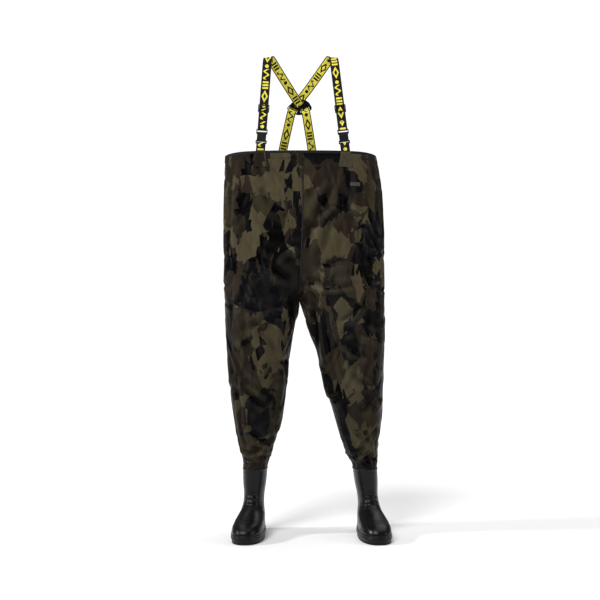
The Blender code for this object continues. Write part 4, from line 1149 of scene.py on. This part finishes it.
def strap(name, path, acrosses, looks, start=0.0):
    """Webbing swept along a path. Its outer face, across x along, has the first look, the inner face the
    second. Its UVs are metres across and along."""
    frames, walked = [], [start]
    for i, point in enumerate(path):
        along = path[min(i + 1, len(path) - 1)] - path[max(i - 1, 0)]
        flat = (acrosses[i] - along * acrosses[i].dot(along) / along.length_squared).normalized()
        frames.append((point, flat, flat.cross(along).normalized()))
        if i:
            walked.append(walked[-1] + (point - path[i - 1]).length)
    flat = [p + a * s * WEBBING + n * t * WEBBING_THICKNESS for p, a, n in frames for s, t in PROFILE]
    count = len(PROFILE)
    faces = grid_faces(len(path), count, ring=True)
    faces.append(tuple(range(count)))
    faces.append(tuple(len(flat) - 1 - k for k in range(count)))
    obj = mesh_object(name, flat, faces, looks)
    bm = bmesh.new()
    bm.from_mesh(obj.data)
    bmesh.ops.recalc_face_normals(bm, faces=bm.faces)
    layer = bm.loops.layers.uv.new("weave")
    for face in bm.faces:
        ts = [PROFILE[v.index % count][1] for v in face.verts]
        face.material_index = 1 if sum(ts) < -0.8 and len(looks) > 1 else 0
        for loop in face.loops:
            index = loop.vert.index
            loop[layer].uv = ((PROFILE[index % count][0] + 0.5) * WEBBING, walked[index // count])
    bm.to_mesh(obj.data)
    bm.free()
    return obj


def build_strap_pieces(side, looks):
    matrix, length = front_line(side)
    back_points = [above_hem(p) + SHIFT for p in (BACK_LEFT if side == LEFT else BACK_RIGHT)]
    hem_x = BACK_HEM_LEFT_X if side == LEFT else BACK_HEM_RIGHT_X
    hem_y = inside_hem(hem_x, BACK)
    back_points.append(Vector((hem_x, hem_y, HEM_HEIGHT + 0.004)) + SHIFT)
    back_points.append(Vector((hem_x, hem_y, HEM_HEIGHT - TAB_BELOW_HEM)) + SHIFT)
    low, high = LOOP_TOP + CLEARANCE, length
    front = [matrix @ Vector((0, 0, z)) for z in np.linspace(low, high, 40)]
    along = matrix.col[2].to_3d()
    down = (back_points[1] - back_points[0]).normalized()
    bend = []
    a, b = front[-1], front[-1] + along * SHOULDER_BEND
    c, d = back_points[0] - down * SHOULDER_BEND, back_points[0]
    for t in np.linspace(0, 1, 25)[1:-1]:
        s = 1 - t
        bend.append(a * s**3 + b * 3 * s * s * t + c * 3 * s * t * t + d * t**3)
    behind = curve_through(back_points, 0.005)
    first = matrix.col[0].to_3d()
    acrosses = []
    for i in range(len(behind)):
        step = behind[min(i + 1, len(behind) - 1)] - behind[max(i - 1, 0)]
        acrosses.append(Vector((-step.z, 0, step.x)).normalized())
    for _ in range(3):
        acrosses = [
            (acrosses[max(i - 1, 0)] + acrosses[i] + acrosses[min(i + 1, len(acrosses) - 1)]).normalized()
            for i in range(len(acrosses))
        ]
    middle = [first.lerp(acrosses[0], (i + 1) / (len(bend) + 1)) for i in range(len(bend))]
    name = SIDE_NAMES[side]
    body = strap(
        name + "_brace_webbing", front + bend + behind, [first] * len(front) + middle + acrosses, looks, 0.1113
    )
    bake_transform(body)
    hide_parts(name + "_brace_strap")

    top = ADJUSTER_ABOVE_HEM
    local = [(0, LOOP_TOP), (0, LOOP_TOP - 0.008), (0, PLUG_BAR_Z + 0.008)]
    local += turn(BAR_Y, PLUG_BAR_Z, WRAP, math.pi, 2 * math.pi)
    rise = np.linspace(PLUG_BAR_Z + 0.006, top - 0.012, 16)
    local += [(mix(2 * WRAP, ADJUSTER_BAR_Y + WRAP, smooth(i / 15)), z) for i, z in enumerate(rise)]
    local += turn(ADJUSTER_BAR_Y, top, WRAP, 0, math.pi)
    local.append((ADJUSTER_BAR_Y - WRAP, top - 0.008))
    path = [matrix @ Vector((0, y, z)) for y, z in local]
    loop = strap(name + "_loop_webbing", path, [-first] * len(path), looks)
    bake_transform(loop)
    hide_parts(name + "_strap_loop")

    start = matrix.translation
    layer = Vector((0, WEBBING_THICKNESS + CLEARANCE, 0))
    drop = UP * -TAB_BELOW_HEM
    path = [start + drop, start + drop * 0.5, start + drop * 0.1]
    lead = [matrix @ Vector((0, 0, z)) for z in (0.004, 0.012, 0.020, 0.028)]
    path += lead + [matrix @ Vector((0, y, z)) for y, z in turn(BAR_Y, SOCKET_BAR_Z, WRAP, math.pi, 0)]
    path += [p + layer for p in lead[::-1][1:]] + [start + layer + drop * 0.1, start + layer + drop * 0.9]
    tab = strap(name + "_tab_webbing", path, [first] * len(path), looks, 0.055)
    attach(tab, "waders")
    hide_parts(name + "_front_tab")


# ---------------------------------------------------------------- stage, light and camera
def build_stage():
    net = Net("studio_floor", 0.9, Specular_IOR_Level=0.0)
    net.set("Base Color", (0.93, 0.93, 0.93, 1))
    floor = mesh_object(
        "studio_floor", [(-30, -30, -0.0005), (30, -30, -0.0005), (30, 30, -0.0005), (-30, 30, -0.0005)],
        [(0, 1, 2, 3)], [net.material],
    )
    world = bpy.data.worlds.new("studio")
    bpy.context.scene.world = world
    world.use_nodes = True
    tree = world.node_tree
    tree.nodes["Background"].inputs["Strength"].default_value = 0.14
    tree.nodes["Background"].inputs["Color"].default_value = (1, 1, 1, 1)
    seen = tree.nodes.new("ShaderNodeBackground")
    seen.inputs["Strength"].default_value = 1.05
    seen.inputs["Color"].default_value = (1, 1, 1, 1)
    ray = tree.nodes.new("ShaderNodeLightPath")
    both = tree.nodes.new("ShaderNodeMixShader")
    tree.links.new(ray.outputs["Is Camera Ray"], both.inputs[0])
    tree.links.new(tree.nodes["Background"].outputs[0], both.inputs[1])
    tree.links.new(seen.outputs[0], both.inputs[2])
    tree.links.new(both.outputs[0], tree.nodes["World Output"].inputs[0])
    for name, strength, size, azimuth, elevation in (
        ("key", 1.75, 24, -28, 50), ("rake", 1.55, 6, -80, 30), ("fill", 0.45, 14, 78, 22),
        ("top", 1.3, 60, 150, 70),
    ):
        light = bpy.data.lights.new(name, "SUN")
        light.energy, light.angle = strength, math.radians(size)
        obj = bpy.data.objects.new(name, light)
        bpy.context.scene.collection.objects.link(obj)
        a, e = math.radians(azimuth), math.radians(elevation)
        towards = Vector((math.sin(a) * math.cos(e), -math.cos(a) * math.cos(e), math.sin(e)))
        obj.rotation_euler = towards.to_track_quat("Z", "Y").to_euler()
    camera = bpy.data.cameras.new("camera")
    camera.lens, camera.sensor_width = 67.02, 36
    obj = bpy.data.objects.new("camera", camera)
    obj.location = (SHIFT.x, -3.9554, 0.833)
    obj.rotation_euler = (math.pi / 2, 0, 0)
    bpy.context.scene.collection.objects.link(obj)
    bpy.context.scene.camera = obj
    bpy.context.scene.view_settings.view_transform = "Standard"
    bpy.context.scene.view_settings.look = "None"


# ---------------------------------------------------------------- assembly
build_stage()
points, normals, grids, tree = build_fabric()
panels, wear_highlight_and_crease_shade = build_panels(points, normals, grids)
hem = build_hem(points, normals, grids, panels)
seams = build_seams(points, normals, grids)
patches = build_patches(tree)

boot_look = rubber("boot_pvc", srgb(5, 5, 6), 0.34)
sole_look = rubber("sole_pvc", srgb(8, 8, 9), 0.45, 180, 0.6)
for side in (RIGHT, LEFT):
    build_boot(side, boot_look, sole_look)
    build_foxing(side, boot_look)

YELLOW, BLACK = srgb(252, 240, 84), srgb(14, 14, 15)
for side in (RIGHT, LEFT):
    name = SIDE_NAMES[side]
    outer = webbing(name + "_webbing_outer", BLACK, YELLOW, start=0.03 * side)
    inner = webbing(name + "_webbing_inner", YELLOW, BLACK, BLACK, start=0.05 * side)
    build_strap_pieces(side, [outer, inner])

moulded = plastic("buckle_plastic_look", srgb(7, 7, 8), 0.34)
glossy = plastic("plate_plastic_look", srgb(5, 5, 9), 0.20)
weld = plain_fabric("weld_band_look", srgb(40, 40, 41), 0.5)
foam = plain_fabric("insole_look", srgb(66, 66, 68), 0.85, 500)
steel = Net("shank_look", 0.35, Metallic=1.0)
steel.set("Base Color", steel.steps(steel.noise(steel.place(), 400, 3), ((0.3, (0.35,) * 3), (0.7, (0.5,) * 3))))
for node_name, obj in NODES.items():
    if obj.hide_render:
        continue
    if "adjuster" in node_name or "buckle" in node_name:
        dress(obj, moulded)
        modify(obj, "BEVEL", width=0.0005, segments=3, limit_method="ANGLE", angle_limit=0.5)
    elif node_name == "cross_plate":
        dress(obj, glossy)
        modify(obj, "BEVEL", width=0.0009, segments=4, limit_method="ANGLE", angle_limit=0.5)
    elif "weld_band" in node_name:
        dress(obj, weld)
    elif "insole" in node_name:
        dress(obj, foam)
    elif "shank" in node_name:
        dress(obj, steel.material)
